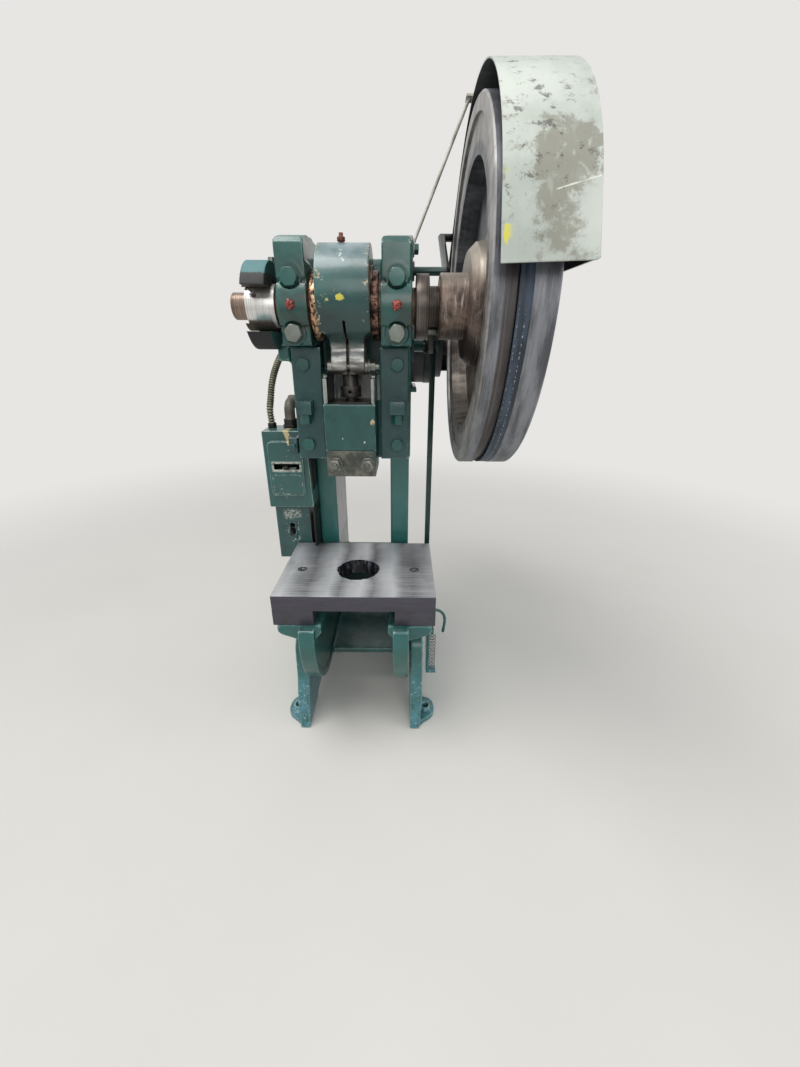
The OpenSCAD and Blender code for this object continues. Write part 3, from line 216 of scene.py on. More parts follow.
    def mark(self, name):
        """A number that the piece's own points or faces carry."""
        return self.add("ShaderNodeAttribute", attribute_name=name).outputs["Fac"]

    def bump(self, height, distance, strength=1.0, under=None):
        values = {"Distance": distance, "Strength": strength, "Height": height}
        if under is not None:
            values["Normal"] = under
        return self.add("ShaderNodeBump", values).outputs[0]

    def done(self, colour, **more):
        """The material, with its colour and what else is given."""
        for name, value in {"base color": colour, **more}.items():
            self.put(self.shader.inputs[name.title()], value)
        return self.mat


def enamel(name, chips=0.5, wear=0.5, grime=0.3, spots=0.0, oil=0.0, light=(30, 92, 86),
           dark=(17, 64, 60), extra=None, coat=0.35, dull=0.0):
    """Thick green machine enamel, chipped to a pale undercoat, worn along edges, oily near the shaft.

    extra lays one piece's marks over it and says how metallic they are."""
    f = Finish(name, coat=coat)
    edge = f.mark("edge")
    colour = f.mix(f.patch(0.35, 0.66, 7, 3), dark, light)
    colour = f.tint(colour, (48, 104, 100), f.patch(0.3, 0.75, 55, 5, 0.65), 0.3)
    dust = f.times(f.step(f.out(2), 0.55, 0.95), f.patch(0.35, 0.7, 38, 5, 0.7))
    colour = f.tint(colour, (116, 136, 138), dust, 0.4)
    # rubbed edges, first paler paint and then metal
    rub = f.times(edge, f.plus(f.noise(70, 6, 0.7), 0.28))
    colour = f.tint(colour, (96, 148, 144), f.step(rub, 0.62 - 0.3 * wear, 0.86 - 0.3 * wear), 0.75)
    bare = f.step(rub, 0.86 - 0.3 * wear, 0.93 - 0.3 * wear)
    colour = f.tint(colour, (172, 176, 166), bare)
    # chips through to a cream undercoat, in clusters
    cluster = f.patch(0.42, 0.68, 11, 3, 0.6, at=f.stretch(move=(3.1, 1.7, 0.4)))
    level = f.plus(f.noise(120, 6, 0.72, warp=0.6), f.times(cluster, 0.07 + 0.05 * chips))
    level = f.plus(level, f.times(edge, 0.07))
    chip = f.step(level, 0.80 - 0.08 * chips, 0.815 - 0.08 * chips)
    colour = f.tint(colour, (196, 190, 164), chip)
    if spots:
        dab = f.noise(26, 2, 0.4, at=f.stretch(move=(0.9, 5.2, 2.3)), warp=0.8)
        colour = f.tint(colour, (206, 188, 60), f.step(dab, 0.745 - 0.03 * spots, 0.75 - 0.03 * spots))
    # grime in hollows and, near the crankshaft, oil
    dirt_noise = f.noise(24, 6, 0.7, warp=0.4)
    dirt = f.plus(f.times(f.mark("hollow"), 0.75), f.times(dirt_noise, 0.55))
    mask = f.times(f.step(dirt, 0.78 - 0.36 * grime, 1.02 - 0.36 * grime), 0.5 + 0.4 * grime)
    if oil:
        away = f.parts(f.polar(AXIS))[1]
        mask = f.most(mask, f.times(f.step(away, 0.085, 0.03), f.step(dirt_noise, 0.4, 0.6), oil))
    colour = f.tint(colour, (44, 38, 30), mask)
    metal = f.times(bare, 0.5)
    if extra:
        colour, more = extra(f, colour)
        metal = f.most(metal, more)
    rough = f.plus(0.24 + dull, f.times(f.noise(33, 4, 0.6), 0.22))
    damage = f.most(chip, bare)
    rough = f.plus(rough, f.times(damage, 0.25))
    skin = f.bump(f.noise(210, 3, 0.5), 0.00035, 0.35)
    skin = f.bump(f.noise(32, 4, 0.6), 0.0022, 0.35, under=skin)
    skin = f.bump(f.minus(1.0, damage), 0.0004, 0.6, under=skin)
    return f.done(colour, roughness=rough, metallic=metal, normal=skin)


def bare_clamp(f, colour):
    """The pitman: a bright worn clamp darker at its bottom, crusted grease up the sides, painted shade on
    the big end's lower part and a painted sheen on its top.
    """
    x, y, z = f.parts()
    low = f.step(z, 0.714, 0.7)
    above = f.minus(1.0, low)
    metal = f.step(f.grain((30, 120, 160), 4, 0.6), 0.35, 0.7)
    metal = f.mix(metal, (112, 112, 110), (206, 205, 200))
    metal = f.tint(metal, (52, 46, 40), f.step(z, 0.682, 0.668), 0.8)
    colour = f.tint(colour, metal, low)
    side = f.step(f.off(f.out(0)), 0.6, 0.9)
    crust = f.mix(f.patch(0.42, 0.62, 60, 6, 0.75), (52, 34, 24), (166, 118, 82))
    colour = f.tint(colour, crust, side, f.step(z, 0.70, 0.715))
    # painted shade: the big end darker down its lower part, which faces down
    colour = f.tint(colour, (20, 36, 38), f.step(z, 0.782, 0.735), above, 0.6)
    colour = f.tint(colour, (216, 206, 84), f.spot(-0.002, 0.764, 0.0042))
    colour = f.tint(colour, (186, 184, 112), f.spot(-0.021, 0.763, 0.0022, 0.012))
    colour = f.tint(colour, (176, 194, 180), f.spot(-0.002, 0.815, 0.0026, 0.02, tall=2.4))
    # painted sheen: the faces that look up made paler and bluer
    pale = f.step(f.out(2), 0.15, 0.9)
    colour = f.tint(colour, (150, 166, 174), pale, f.patch(0.25, 0.6, 20, 5, 0.6), 0.6)
    rims = f.step(f.off(x), 0.021, 0.033)
    fleck = f.step(f.plus(f.noise(95, 6, 0.74), f.times(rims, 0.09)), 0.66, 0.69)
    colour = f.tint(colour, (182, 168, 132), fleck, rims, above)
    return colour, f.times(low, 0.7)


def bare_bolts(f, colour):
    mark = f.mark("bare")
    metal = f.mix(f.noise(60, 5, 0.7), (72, 82, 76), (142, 148, 140))
    return f.tint(colour, metal, mark), f.times(mark, 0.4)


def dark_pocket(f, colour):
    """The ram: its pocket near black, its clamp grey with dried oil."""
    z = f.parts()[2]
    face = f.times(f.step(z, 0.6245, 0.6255), f.step(f.out(1), -0.5, -0.8))
    worn = f.mix(f.step(f.grain((90, 90, 14), 5, 0.7), 0.4, 0.55), (62, 76, 72), (172, 172, 166))
    colour = f.tint(colour, worn, face, 0.85)
    deep = f.times(f.near((0, -0.11, 0.66), (0.0345, 0.0545, 0.0365), 0.0006), f.minus(1.0, face))
    colour = f.tint(colour, f.mix(f.noise(50, 5), (13, 12, 16), (34, 29, 32)), deep)
    colour = f.tint(colour, (186, 172, 138), f.spot(0.0355, 0.597, 0.0034, 0.014, tall=1.7))
    for place in ((-0.012, 0.572, 0.0011), (0.022, 0.566, 0.001)):
        colour = f.tint(colour, (196, 206, 200), f.spot(*place, 0.006))
    return colour, f.times(deep, 0.2)


def shoe_shade(f, colour):
    """A brake shoe: a painted highlight on top, and painted shadow in black underneath."""
    up = f.out(2)
    # painted highlight on the faces that look up
    colour = f.tint(colour, (104, 150, 156), f.step(up, 0.2, 0.75), 0.5)
    z = f.parts()[2]
    # painted shadow: black on the faces that look down and on the upper shoe's lower front
    low = f.step(f.plus(z, f.swing(0.014, 70, 5, 0.7)), 0.7975, 0.7945)
    under = f.most(f.step(up, -0.25, -0.7), f.times(low, f.step(z, 0.77, 0.771)))
    return f.tint(colour, f.mix(f.noise(60, 4), (18, 20, 22), (40, 42, 42)), under), 0.0


def frame_shade(f, colour):
    """The casting: painted light down the columns, brighter and bluer, and bare grey inside the left one.
    """
    z = f.parts()[2]
    # painted light on the columns, where the head's shade falls
    shaft = f.times(f.step(z, 0.545, 0.5), f.step(z, 0.3, 0.32))
    colour = f.tint(colour, f.mix(f.noise(45, 6, 0.7), (40, 118, 112), (84, 142, 136)), shaft, 0.55)
    inner = f.times(f.step(f.out(0), 0.75, 0.9), f.near((-0.057, None, 0.42), (0.0015, 0, 0.108), 0.002))
    bare = f.mix(f.step(f.grain((1, 60, 6), 4, 0.6), 0.35, 0.65), (106, 104, 116), (150, 148, 160))
    colour = f.tint(colour, bare, inner)
    flange = f.times(f.near((None, None, 0.248), (0, 0, 0.016), 0.002), f.step(f.out(1), -0.5, -0.8))
    return f.tint(colour, (16, 104, 104), flange, 0.35), 0.0


def leg_shade(f, colour):
    """Paler and bluer towards the feet, with rubbed flecks."""
    z = f.parts()[2]
    colour = f.tint(colour, (86, 142, 158), f.step(z, 0.17, 0.03), f.patch(0.34, 0.62, 34, 6, 0.72), 0.7)
    flecks = f.patch(0.58, 0.63, 150, 6, 0.75)
    return f.tint(colour, (186, 202, 200), f.step(z, 0.2, 0.05), flecks, 0.75), 0.0


def far_bar(f, colour):
    return f.tint(colour, (16, 18, 20), f.step(f.parts()[0], 0.143, 0.149)), 0.0


def crust(f, colour):
    """Dried grease on the crank webs, pale on the left one and dark on the right."""
    x = f.parts()[0]
    web = f.step(f.off(f.off(x), 0.0425), 0.0075, 0.0062)
    streak = f.grain((260, 60, 7), 5, 0.7, at=f.polar(AXIS))
    left = f.mix(f.step(streak, 0.42, 0.56), (60, 44, 36), (206, 170, 138))
    right = f.mix(f.patch(0.44, 0.6, 120, 6, 0.75), (34, 26, 24), (132, 104, 92))
    return f.tint(colour, f.mix(f.step(x, -0.001, 0.001), left, right), web), 0.0


def oily_clamp(f, colour):
    film = f.mix(f.patch(0.4, 0.6, 40, 6, 0.7), (52, 56, 50), (104, 104, 92))
    return f.tint(colour, film, f.patch(0.36, 0.5, 26, 5, 0.65, warp=0.5)), 0.0


def box_marks(f, colour):
    """The boxes: paint knocked off round the slot, the panel and the toggle, and a cream run."""
    rag = f.noise(260, 4, 0.7)
    x, y, z = f.parts()
    front = f.step(f.times(f.out(1), -1.0), 0.3, 0.6)
    slot = f.border(-0.138, 0.494, (0.0265, 0.0085), (0.0235, 0.0056), 0.003, 0.0004)
    knocked = f.times(slot, f.step(rag, 0.42, 0.5))
    panel = f.border(-0.1385, 0.459, (0.028, 0.0195), (0.0262, 0.0178), 0.0012, 0.0012)
    knocked = f.most(knocked, f.times(panel, f.patch(0.5, 0.6, 75, 6, 0.8)))
    toggle = f.border(-0.148, 0.351, (0.0125, 0.028), (0.008, 0.02), 0.003, 0.003)
    knocked = f.most(knocked, f.times(toggle, f.patch(0.55, 0.62, 150, 5, 0.7)))
    bald = f.times(f.near((-0.146, None, 0.385), (0.014, 0, 0.006), 0.006), f.step(rag, 0.45, 0.56))
    colour = f.tint(colour, (196, 198, 186), f.most(knocked, bald), front, 0.85)
    lean = f.plus(x, f.times(f.minus(z, 0.56), 0.35))
    run = f.times(f.step(f.off(f.plus(lean, 0.1355)), 0.0058, 0.004), f.step(z, 0.532, 0.536))
    return f.tint(colour, (206, 190, 140), run, f.patch(0.36, 0.46, 120, 4, 0.7), 0.9), 0.0


def steel(name, dark, light, grain=(500, 30, 30), metallic=0.85, stain=0.3, stain_colour=(70, 52, 38),
          centre=None, extra=None):
    """Machined steel whose fine marks run one way, or round an axis along X, stained in patches."""
    f = Finish(name)
    marks = f.grain(grain, 4, 0.6, at=f.polar(centre, lap=0.05) if centre else None)
    colour = f.mix(f.step(marks, 0.3, 0.7), dark, light)
    colour = f.tint(colour, dark, f.patch(0.4, 0.65, 14, 4, 0.6), 0.5)
    patch = f.patch(0.72 - 0.3 * stain, 0.86 - 0.3 * stain, 32, 6, 0.72, warp=0.5)
    colour = f.tint(colour, stain_colour, patch, 0.8)
    colour = f.tint(colour, (206, 204, 198), f.rubbed(0.35, 0.7, 0.4, 80, 4), 0.6)
    roughness = f.plus(0.28, f.times(f.most(patch, f.noise(60, 4)), 0.22))
    skin = f.bump(marks, 0.00025, 0.4)
    skin = f.bump(f.noise(70, 4, 0.6), 0.0004, 0.25, under=skin)
    shine = f.minus(metallic, f.times(patch, 0.45))
    if extra:
        colour, _ = extra(f, colour)
    return f.done(colour, roughness=roughness, metallic=shine, normal=skin)


def bolster_steel():
    """Ground plate: bands, fine cross marks, a few round scratches, dull dark edges."""
    f = Finish("bolster_plate")
    x, y, z = f.parts()
    across = f.step(f.plus(x, f.swing(0.035, 9, 3)), -0.14, 0.14, smooth=False)
    grey = [172, 196, 150, 104, 178, 206, 112, 190, 214, 106, 188, 216, 132, 104, 150, 160]
    top = f.ramp(across, [(g - 2, g - 1, g + 3) for g in grey])
    fine = f.grain((14, 620, 1), 5, 0.65)
    top = f.tint(top, (226, 226, 230), f.step(fine, 0.42, 0.68), 0.18)
    top = f.tint(top, (240, 240, 240), f.step(y, -0.06, -0.2), f.step(fine, 0.35, 0.6), 0.25)
    top = f.tint(top, (104, 102, 104), f.patch(0.5, 0.72, 22, 5, 0.65, warp=0.6), 0.3)
    for x_at, y_at, radius in ((0.055, -0.21, 0.041), (-0.03, -0.2, 0.048), (0.07, -0.06, 0.03),
                               (-0.085, -0.185, 0.034)):
        away = f.length(f.minus(x, x_at), f.minus(y, y_at))
        ring = f.step(f.off(away, radius), 0.0009, 0.0002)
        top = f.tint(top, (196, 196, 194), ring, f.patch(0.5, 0.62, 30, 3), 0.4)
    side = f.mix(f.grain((26, 26, 160), 4, 0.6), (62, 61, 70), (84, 82, 92))
    side = f.tint(side, (186, 184, 180), f.rubbed(0.35, 0.6, 0.35, 90, 4), 0.8)
    colour = f.tint(side, top, f.step(f.out(2), 0.7, 0.95))
    burnt = f.mix(f.step(f.grain((260, 260, 40), 4, 0.7), 0.52, 0.68), (20, 21, 25), (112, 118, 130))
    colour = f.tint(colour, burnt, f.mark("burnt"))
    rough = f.plus(0.34, f.times(fine, 0.2))
    return f.done(colour, roughness=rough, metallic=0.42, normal=f.bump(fine, 0.0002, 0.35))


def riser_steel():
    f = Finish("riser_steel")
    grain = f.grain((30, 30, 260), 5, 0.65)
    colour = f.mix(grain, (60, 60, 68), (88, 87, 96))
    colour = f.tint(colour, (64, 52, 48), f.patch(0.52, 0.74, 30, 5, 0.65), 0.4)
    colour = f.tint(colour, (186, 182, 176), f.rubbed(0.35, 0.6, 0.35, 90, 4))
    rough = f.plus(0.4, f.times(grain, 0.2))
    return f.done(colour, roughness=rough, metallic=0.55, normal=f.bump(grain, 0.0003, 0.4))


def wheel_iron(belt_low):
    """Turned cast iron with a bright worn rim and a dark web streaked with painted reflections."""
    f = Finish("wheel_iron")
    polar = f.polar(AXIS)
    x, away, angle = f.parts(polar)
    height = f.parts()[2]
    turned = f.grain((900, 700, 1.2), 4, 0.6, at=polar)
    streak = f.grain((18, 16, 7), 4, 0.62, at=polar)
    # the web, streaked with painted reflections and paler and bluer at the top as painted light, and the
    # bright rim face
    web_reflections = f.step(streak, 0.34, 0.68)
    web = f.mix(web_reflections, (62, 56, 52), (146, 138, 130))
    web = f.mix(f.step(height, 0.68, 0.8), web, f.mix(web_reflections, (66, 70, 78), (136, 138, 144)))
    face = f.mix(f.step(streak, 0.3, 0.7), (122, 120, 118), (176, 174, 172))
    colour = f.mix(f.step(away, 0.178, 0.184), web, face)
    # rust and grease round the hub, with a painted highlight on its top and painted shade at its bottom
    boss = f.mix(f.patch(0.36, 0.66, 19, 6, 0.7, warp=0.7), (62, 50, 44), (128, 110, 98))
    boss = f.tint(boss, (196, 186, 176), f.step(f.grain((160, 24, 24), 4, 0.7), 0.55, 0.7), 0.6)
    # painted highlight on the top of the hub, then painted shade at its bottom
    boss = f.tint(boss, (178, 170, 158), f.step(height, 0.775, 0.81), 0.7)
    boss = f.tint(boss, (46, 34, 30), f.step(height, 0.74, 0.70), 0.8)
    colour = f.tint(colour, boss, f.step(away, 0.098, 0.086))
    # the belt's face, grimy beside the belt
    outer = f.step(f.grain((75, 10, 3.0), 5, 0.6, at=polar), 0.36, 0.66)
    outer = f.mix(outer, (84, 86, 92), (136, 139, 146))
    grimy = f.times(f.step(x, belt_low - 0.016, belt_low - 0.013), f.step(x, belt_low + 0.002, belt_low))
    outer = f.tint(outer, f.mix(streak, (44, 38, 36), (84, 76, 72)), grimy, 0.8)
    left = f.step(f.times(f.out(0), -1.0), 0.4, 0.8)
    on_rim = f.times(f.step(away, 0.209, 0.215), f.minus(1.0, left))
    colour = f.tint(colour, outer, on_rim)
    colour = f.tint(colour, (190, 188, 184), f.step(turned, 0.45, 0.7), 0.16)
    rust = f.patch(0.6, 0.72, 27, 6, 0.75, warp=0.6)
    more_below = f.plus(0.25, f.times(f.step(height, 0.8, 0.58), 0.5))
    colour = f.tint(colour, (66, 44, 30), rust, more_below, f.minus(1.0, on_rim))
    colour = f.tint(colour, (196, 194, 190), f.rubbed(0.3, 0.62, 0.4, 60, 4), 0.65)
    rough = f.plus(0.3, f.times(f.noise(26, 4), 0.26))
    skin = f.bump(turned, 0.0003, 0.35)
    skin = f.bump(f.noise(60, 5, 0.6), 0.0007, 0.3, under=skin)
    return f.done(colour, roughness=rough, metallic=0.6, normal=skin)


def guard_paint():
    """Pale scuffed mint-grey paint outside, darker inside."""
    f = Finish("guard_paint")
    x, y, z = f.parts()
    colour = f.mix(f.patch(0.35, 0.65, 10, 4), (172, 180, 172), (200, 206, 198))
    rub = f.noise(13, 7, 0.72, at=f.stretch((1, 1, 0.7), move=(0.25, 0.6, 1.0)), warp=0.5)
    band = f.times(f.near((0.226, None, 0.84), (0.006, 0, 0.05), 0.032), f.step(y, -0.25, -0.3))
    rub = f.plus(f.plus(rub, f.times(band, 0.12)), f.swing(0.4, 85, 6, 0.75))
    colour = f.tint(colour, (124, 119, 104), f.step(rub, 0.56, 0.66), 0.7)
    specks = f.patch(0.56, 0.61, 70, 7, 0.8)
    few = f.patch(0.4, 0.56, 12, 3, 0.6, at=f.stretch(move=(5, 2, 7)))
    colour = f.tint(colour, (74, 70, 62), specks, few, 0.75)
    colour = f.tint(colour, (206, 214, 206), f.step(f.grain((95, 95, 7), 3, 0.5), 0.55, 0.75), 0.22)
    colour = f.tint(colour, (98, 92, 76), f.rubbed(0.25, 0.5, 0.35, 60, 5), 0.8)
    low = f.times(f.step(x, 0.182, 0.174), f.step(z, 0.86, 0.83), f.step(y, -0.2, -0.3))
    colour = f.tint(colour, (214, 206, 74), f.patch(0.57, 0.6, 34, 3, 0.6, warp=0.5), low)
    # one long pale scratch on the front
    line = f.off(f.minus(z, 0.837), f.times(f.minus(x, 0.22), 0.28))
    line = f.plus(line, f.swing(0.004, 60, 3))
    span = f.times(f.step(x, 0.217, 0.222), f.step(x, 0.2592, 0.2575), f.step(y, -0.25, -0.3))
    colour = f.tint(colour, (232, 232, 220), f.step(line, 0.0009, 0.0003), span, 0.8)
    # the inner faces darker
    dark_inside = f.mix(f.patch(0.4, 0.65, 20, 5, 0.6), (36, 38, 42), (66, 68, 70))
    colour = f.tint(colour, dark_inside, f.mark("inside"))
    rough = f.plus(0.42, f.times(f.noise(30, 4), 0.2))
    skin = f.bump(f.noise(45, 4, 0.6), 0.0012, 0.3)
    return f.done(colour, roughness=rough, normal=f.bump(f.minus(1.0, specks), 0.0003, 0.4, under=skin))


def belt_rubber(low, high):
    """Dark blue-grey V belt, dusty, with broken pale lines along its back."""
    f = Finish("belt_rubber")
    x, away, turn = f.parts(f.polar(AXIS))
    side = f.math("DIVIDE", f.minus(x, (low + high) / 2), (high - low) / 2)
    dusty = f.grain((160, 22, 22), 5, 0.65)
    colour = f.mix(f.step(dusty, 0.35, 0.7), (32, 42, 54), (62, 78, 96))
    along = f.add("ShaderNodeCombineXYZ", {0: f.times(turn, 0.22)}).outputs[0]
    dash = f.grain((230, 1, 1), 4, 0.75, at=along)
    on = f.times(f.step(dash, 0.5, 0.54), f.patch(0.38, 0.5, 420, 2))
    line = f.step(f.off(side, 0.3), 0.09, 0.04)
    line = f.most(line, f.times(f.step(f.off(f.plus(side, 0.72)), 0.07, 0.03), 0.7))
    colour = f.tint(colour, (196, 198, 200), on, line, f.step(f.parts()[2], 0.76, 0.72), 0.8)
    skin = f.bump(f.noise(600, 2), 0.0002, 0.4)
    return f.done(colour, roughness=f.plus(0.42, f.times(dusty, 0.2)), normal=skin)


def plain(name, dark, light, rough=0.5, metallic=0.0, scale=30, speck=None, speck_share=0.3,
          groove=None, below=None):
    """A mottled, lightly worn surface for small things, black under the height below."""
    f = Finish(name, metallic=metallic)
    colour = f.mix(f.patch(0.32, 0.7, scale, 5, 0.65), dark, light)
    if speck:
        spots = f.patch(0.72 - 0.2 * speck_share, 0.78 - 0.2 * speck_share, scale * 4, 5, 0.7)
        colour = f.tint(colour, speck, spots, 0.85)
    paler = [min(255, c + 60) for c in light]
    colour = f.tint(colour, paler, f.rubbed(0.35, 0.7, 0.35, 90, 4), 0.5)
    if groove:
        colour = f.tint(colour, groove, f.step(f.mark("rib"), 0.5, 0.25))
    if below:
        colour = f.tint(colour, (16, 16, 17), f.step(f.parts()[2], below, below - 0.001))
    roughness = f.plus(rough - 0.08, f.times(f.noise(scale * 2, 4), 0.2))
    return f.done(colour, roughness=roughness, normal=f.bump(f.noise(scale * 5, 3), 0.0005, 0.5))


# Pieces


def ready(obj, node, mat):
    """A finished piece: it rides where its node rides, stands for it and takes the given material."""
    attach(obj, nodes[node]["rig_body"])
    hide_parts(node)
    obj.data.materials.clear()
    obj.data.materials.append(mat)
    return obj


def add_object(name, data):
    obj = bpy.data.objects.new(name, data)
    bpy.context.scene.collection.objects.link(obj)
    return obj


def built(name, bm):
    """A new object that holds the shape."""
    mesh = bpy.data.meshes.new(name)
    bm.to_mesh(mesh)
    bm.free()
    return add_object(name, mesh)


def joined_mesh(node, flat=True):
    """A copy of a node's mesh with its split corners joined, and its flat faces whole."""
    bm = bmesh.new()
    bm.from_mesh(nodes[node].data)
    bmesh.ops.remove_doubles(bm, verts=bm.verts, dist=2e-6)
    bmesh.ops.dissolve_degenerate(bm, edges=bm.edges, dist=1e-6)
    if flat:
        bmesh.ops.dissolve_limit(bm, angle_limit=math.radians(0.6), verts=bm.verts, edges=bm.edges)
    bmesh.ops.recalc_face_normals(bm, faces=bm.faces)
    return bm


def modify(obj, kind, **settings):
    step = obj.modifiers.new(kind.lower(), kind)
    for key, value in settings.items():
        setattr(step, key, value)


def evaluated(obj):
    """The mesh with the modifiers applied, in place of the old one."""
    graph = bpy.context.evaluated_depsgraph_get()
    mesh = bpy.data.meshes.new_from_object(obj.evaluated_get(graph))
    old = obj.data
    obj.modifiers.clear()
    obj.data = mesh
    bpy.data.meshes.remove(old)
    return obj


def shade(obj, angle):
    """Smooth shading, with edges sharp past an angle in degrees."""
    obj.data.shade_smooth()
    obj.data.set_sharp_from_angle(angle=math.radians(angle))


def store(obj, name, where, values):
    """Numbers that the finish reads by name, one for each point or face."""
    obj.data.attributes.new(name, "FLOAT", where).data.foreach_set("value", values)


def face_mark(obj, name, test):
    """Gives each face of a piece 1 or 0 under a name, from its middle and its normal."""
    store(obj, name, "FACE", [float(test(face.center, face.normal)) for face in obj.data.polygons])


def read(items, name, width, kind=float):
    """One property of a mesh's points or edges, as an array with a row for each."""
    out = np.empty(len(items) * width, kind)
    items.foreach_get(name, out)
    return out.reshape(-1, width)


def wear_marks(obj):
    """Stores how far each point sticks out (edge) or sits in a corner (hollow), 0 to 1."""
    full = 0.16  # the bend that counts as 1
    co = read(obj.data.vertices, "co", 3)
    normal = read(obj.data.vertices, "normal", 3)
    a, b = read(obj.data.edges, "vertices", 2, int).T
    d = co[b] - co[a]
    length = np.linalg.norm(d, axis=1) + 1e-9
    bend, count = np.zeros((2, len(co)))
    np.add.at(bend, a, (d * normal[a]).sum(1) / length)
    np.add.at(bend, b, -(d * normal[b]).sum(1) / length)
    np.add.at(count, a, 1)
    np.add.at(count, b, 1)
    value = bend / np.maximum(count, 1)
    for _ in range(2):
        total = value.copy()
        np.add.at(total, a, value[b])
        np.add.at(total, b, value[a])
        value = total / (count + 1)
    for name, sign in (("edge", -1), ("hollow", 1)):
        store(obj, name, "POINT", np.clip(sign * value / full, 0, 1).astype(np.float32))


def join_rings(bm, rings):
    """Faces between rings of points and over both ends."""
    faces = [bm.faces.new(rings[0][::-1]), bm.faces.new(rings[-1])]
    for a, b in zip(rings, rings[1:]):
        for i in range(len(a)):
            k = (i + 1) % len(a)
            faces.append(bm.faces.new((a[i], a[k], b[k], b[i])))
    return faces


def prism(profile, axis, lo, hi):
    """A solid with the given outline, from lo to hi along X, Y or Z."""
    bm = bmesh.new()
    at = "xyz".index(axis)
    rings = [[bm.verts.new((*flat[:at], level, *flat[at:])) for flat in profile] for level in (lo, hi)]
    join_rings(bm, rings)
    bmesh.ops.recalc_face_normals(bm, faces=bm.faces)
    return built("solid", bm)


def brick(x0, x1, y0, y1, z0, z1):
    return prism([(x0, y0), (x1, y0), (x1, y1), (x0, y1)], "z", z0, z1)


def turns(n):
    return [math.tau * i / n for i in range(n)]


def peg(axis, a, b, r, lo, hi):
    return prism([(a + r * math.cos(t), b + r * math.sin(t)) for t in turns(48)], axis, lo, hi)


def arc(a, b, r, start, end, n=10):
    angles = [math.radians(start + (end - start) * i / n) for i in range(n + 1)]
    return [(a + r * math.cos(t), b + r * math.sin(t)) for t in angles]


def carve(obj, cuts):
    """Takes the cuts away from a piece."""
    for cut in cuts:
        modify(obj, "BOOLEAN", operation="DIFFERENCE", solver="EXACT", object=cut)
    evaluated(obj)
    for cut in cuts:
        bpy.data.objects.remove(cut)


def cast(node, mat, voxel, passes=4, share=1.0, cuts=(), adds=(), shift=None):
    """A node's shape as a casting: its corners rounded over, and its points marked for wear."""
    bm = joined_mesh(node, flat=False)
    if shift:
        for v in bm.verts:
            v.co = shift(*v.co)
    obj = built(node + "_cast", bm)
    if cuts:
        carve(obj, cuts)
    if adds:
        bm = bmesh.new()
        bm.from_mesh(obj.data)
        for add in adds:
            bm.from_mesh(add.data)
            bpy.data.objects.remove(add)
        bm.to_mesh(obj.data)
        bm.free()
    modify(obj, "REMESH", mode="VOXEL", voxel_size=voxel)
    modify(obj, "SMOOTH", factor=0.5, iterations=passes)
    wear_marks(evaluated(obj))
    if share < 1:
        modify(obj, "DECIMATE", ratio=share)
        evaluated(obj)
    shade(obj, 60)
    ready(obj, node, mat)


def crisp(node, mat, width=0.0006, segments=2, shift=None, drop=None):
    """A node's shape as a machined part with small bevels; its points can be shifted or left out."""
    bm = joined_mesh(node)
    if drop:
        bmesh.ops.delete(bm, geom=[v for v in bm.verts if drop(v.co)], context="VERTS")
    if shift:
        for v in bm.verts:
            v.co = shift(*v.co)
    obj = built(node + "_part", bm)
    modify(obj, "BEVEL", width=width, segments=segments, limit_method="ANGLE",
           angle_limit=math.radians(30))
    shade(evaluated(obj), 40)
    return ready(obj, node, mat)


def hex_head(bm, at, out, flats, height, bare=0.0, spin=0.0):
    """A hexagon head with a turned chamfer, standing on its bearing face."""
    layer = bm.faces.layers.float["bare"]
    out = Vector(out)
    side = out.orthogonal().normalized()
    up = out.cross(side)
    inner = flats / 2
    turned = inner * 0.95

    def ring(radii, level):
        return [bm.verts.new(Vector(at) + out * level(r) + (side * math.cos(t) + up * math.sin(t)) * r)
                for t, r in zip(turns(36), radii)]

    sixth = math.pi / 3
    hexagon = [inner / math.cos((t + spin + sixth / 2) % sixth - sixth / 2) for t in turns(36)]
    for face in join_rings(bm, [ring(hexagon, lambda r: 0.0),
                          ring(hexagon, lambda r: height - max(0.0, r - turned) * 0.55),
                          ring([turned] * 36, lambda r: height),
                          ring([inner * 0.5] * 36, lambda r: height + 0.0002)]):
        face[layer] = bare


def bolts(name, node, mat, heads):
    bm = bmesh.new()
    bm.faces.layers.float.new("bare")
    for head in heads:
        hex_head(bm, *head)
    bmesh.ops.recalc_face_normals(bm, faces=bm.faces)
    obj = built(name, bm)
    modify(obj, "BEVEL", width=0.0004, limit_method="ANGLE", angle_limit=math.radians(40))
    shade(evaluated(obj), 25)
    ready(obj, node, mat)


def smooth_path(points, step):
    """Points a fixed step apart along a curve through the given ones."""
    p = [Vector(v) for v in points]
    fine = []
    for i in range(len(p) - 1):
        a, b, c, d = p[max(i - 1, 0)], p[i], p[i + 1], p[min(i + 2, len(p) - 1)]
        for k in range(24):
            t = k / 24
            point = 2 * b + (c - a) * t
            point += (2 * a - 5 * b + 4 * c - d) * t * t
            point += (3 * b - a - 3 * c + d) * t ** 3
            fine.append(0.5 * point)
    fine.append(p[-1])
    out = [fine[0]]
    left = step
    for a, b in zip(fine, fine[1:]):
        run = (b - a).length
        at = left
        while at <= run:
            out.append(a.lerp(b, at / run))
            at += step
        left = at - run
    return out


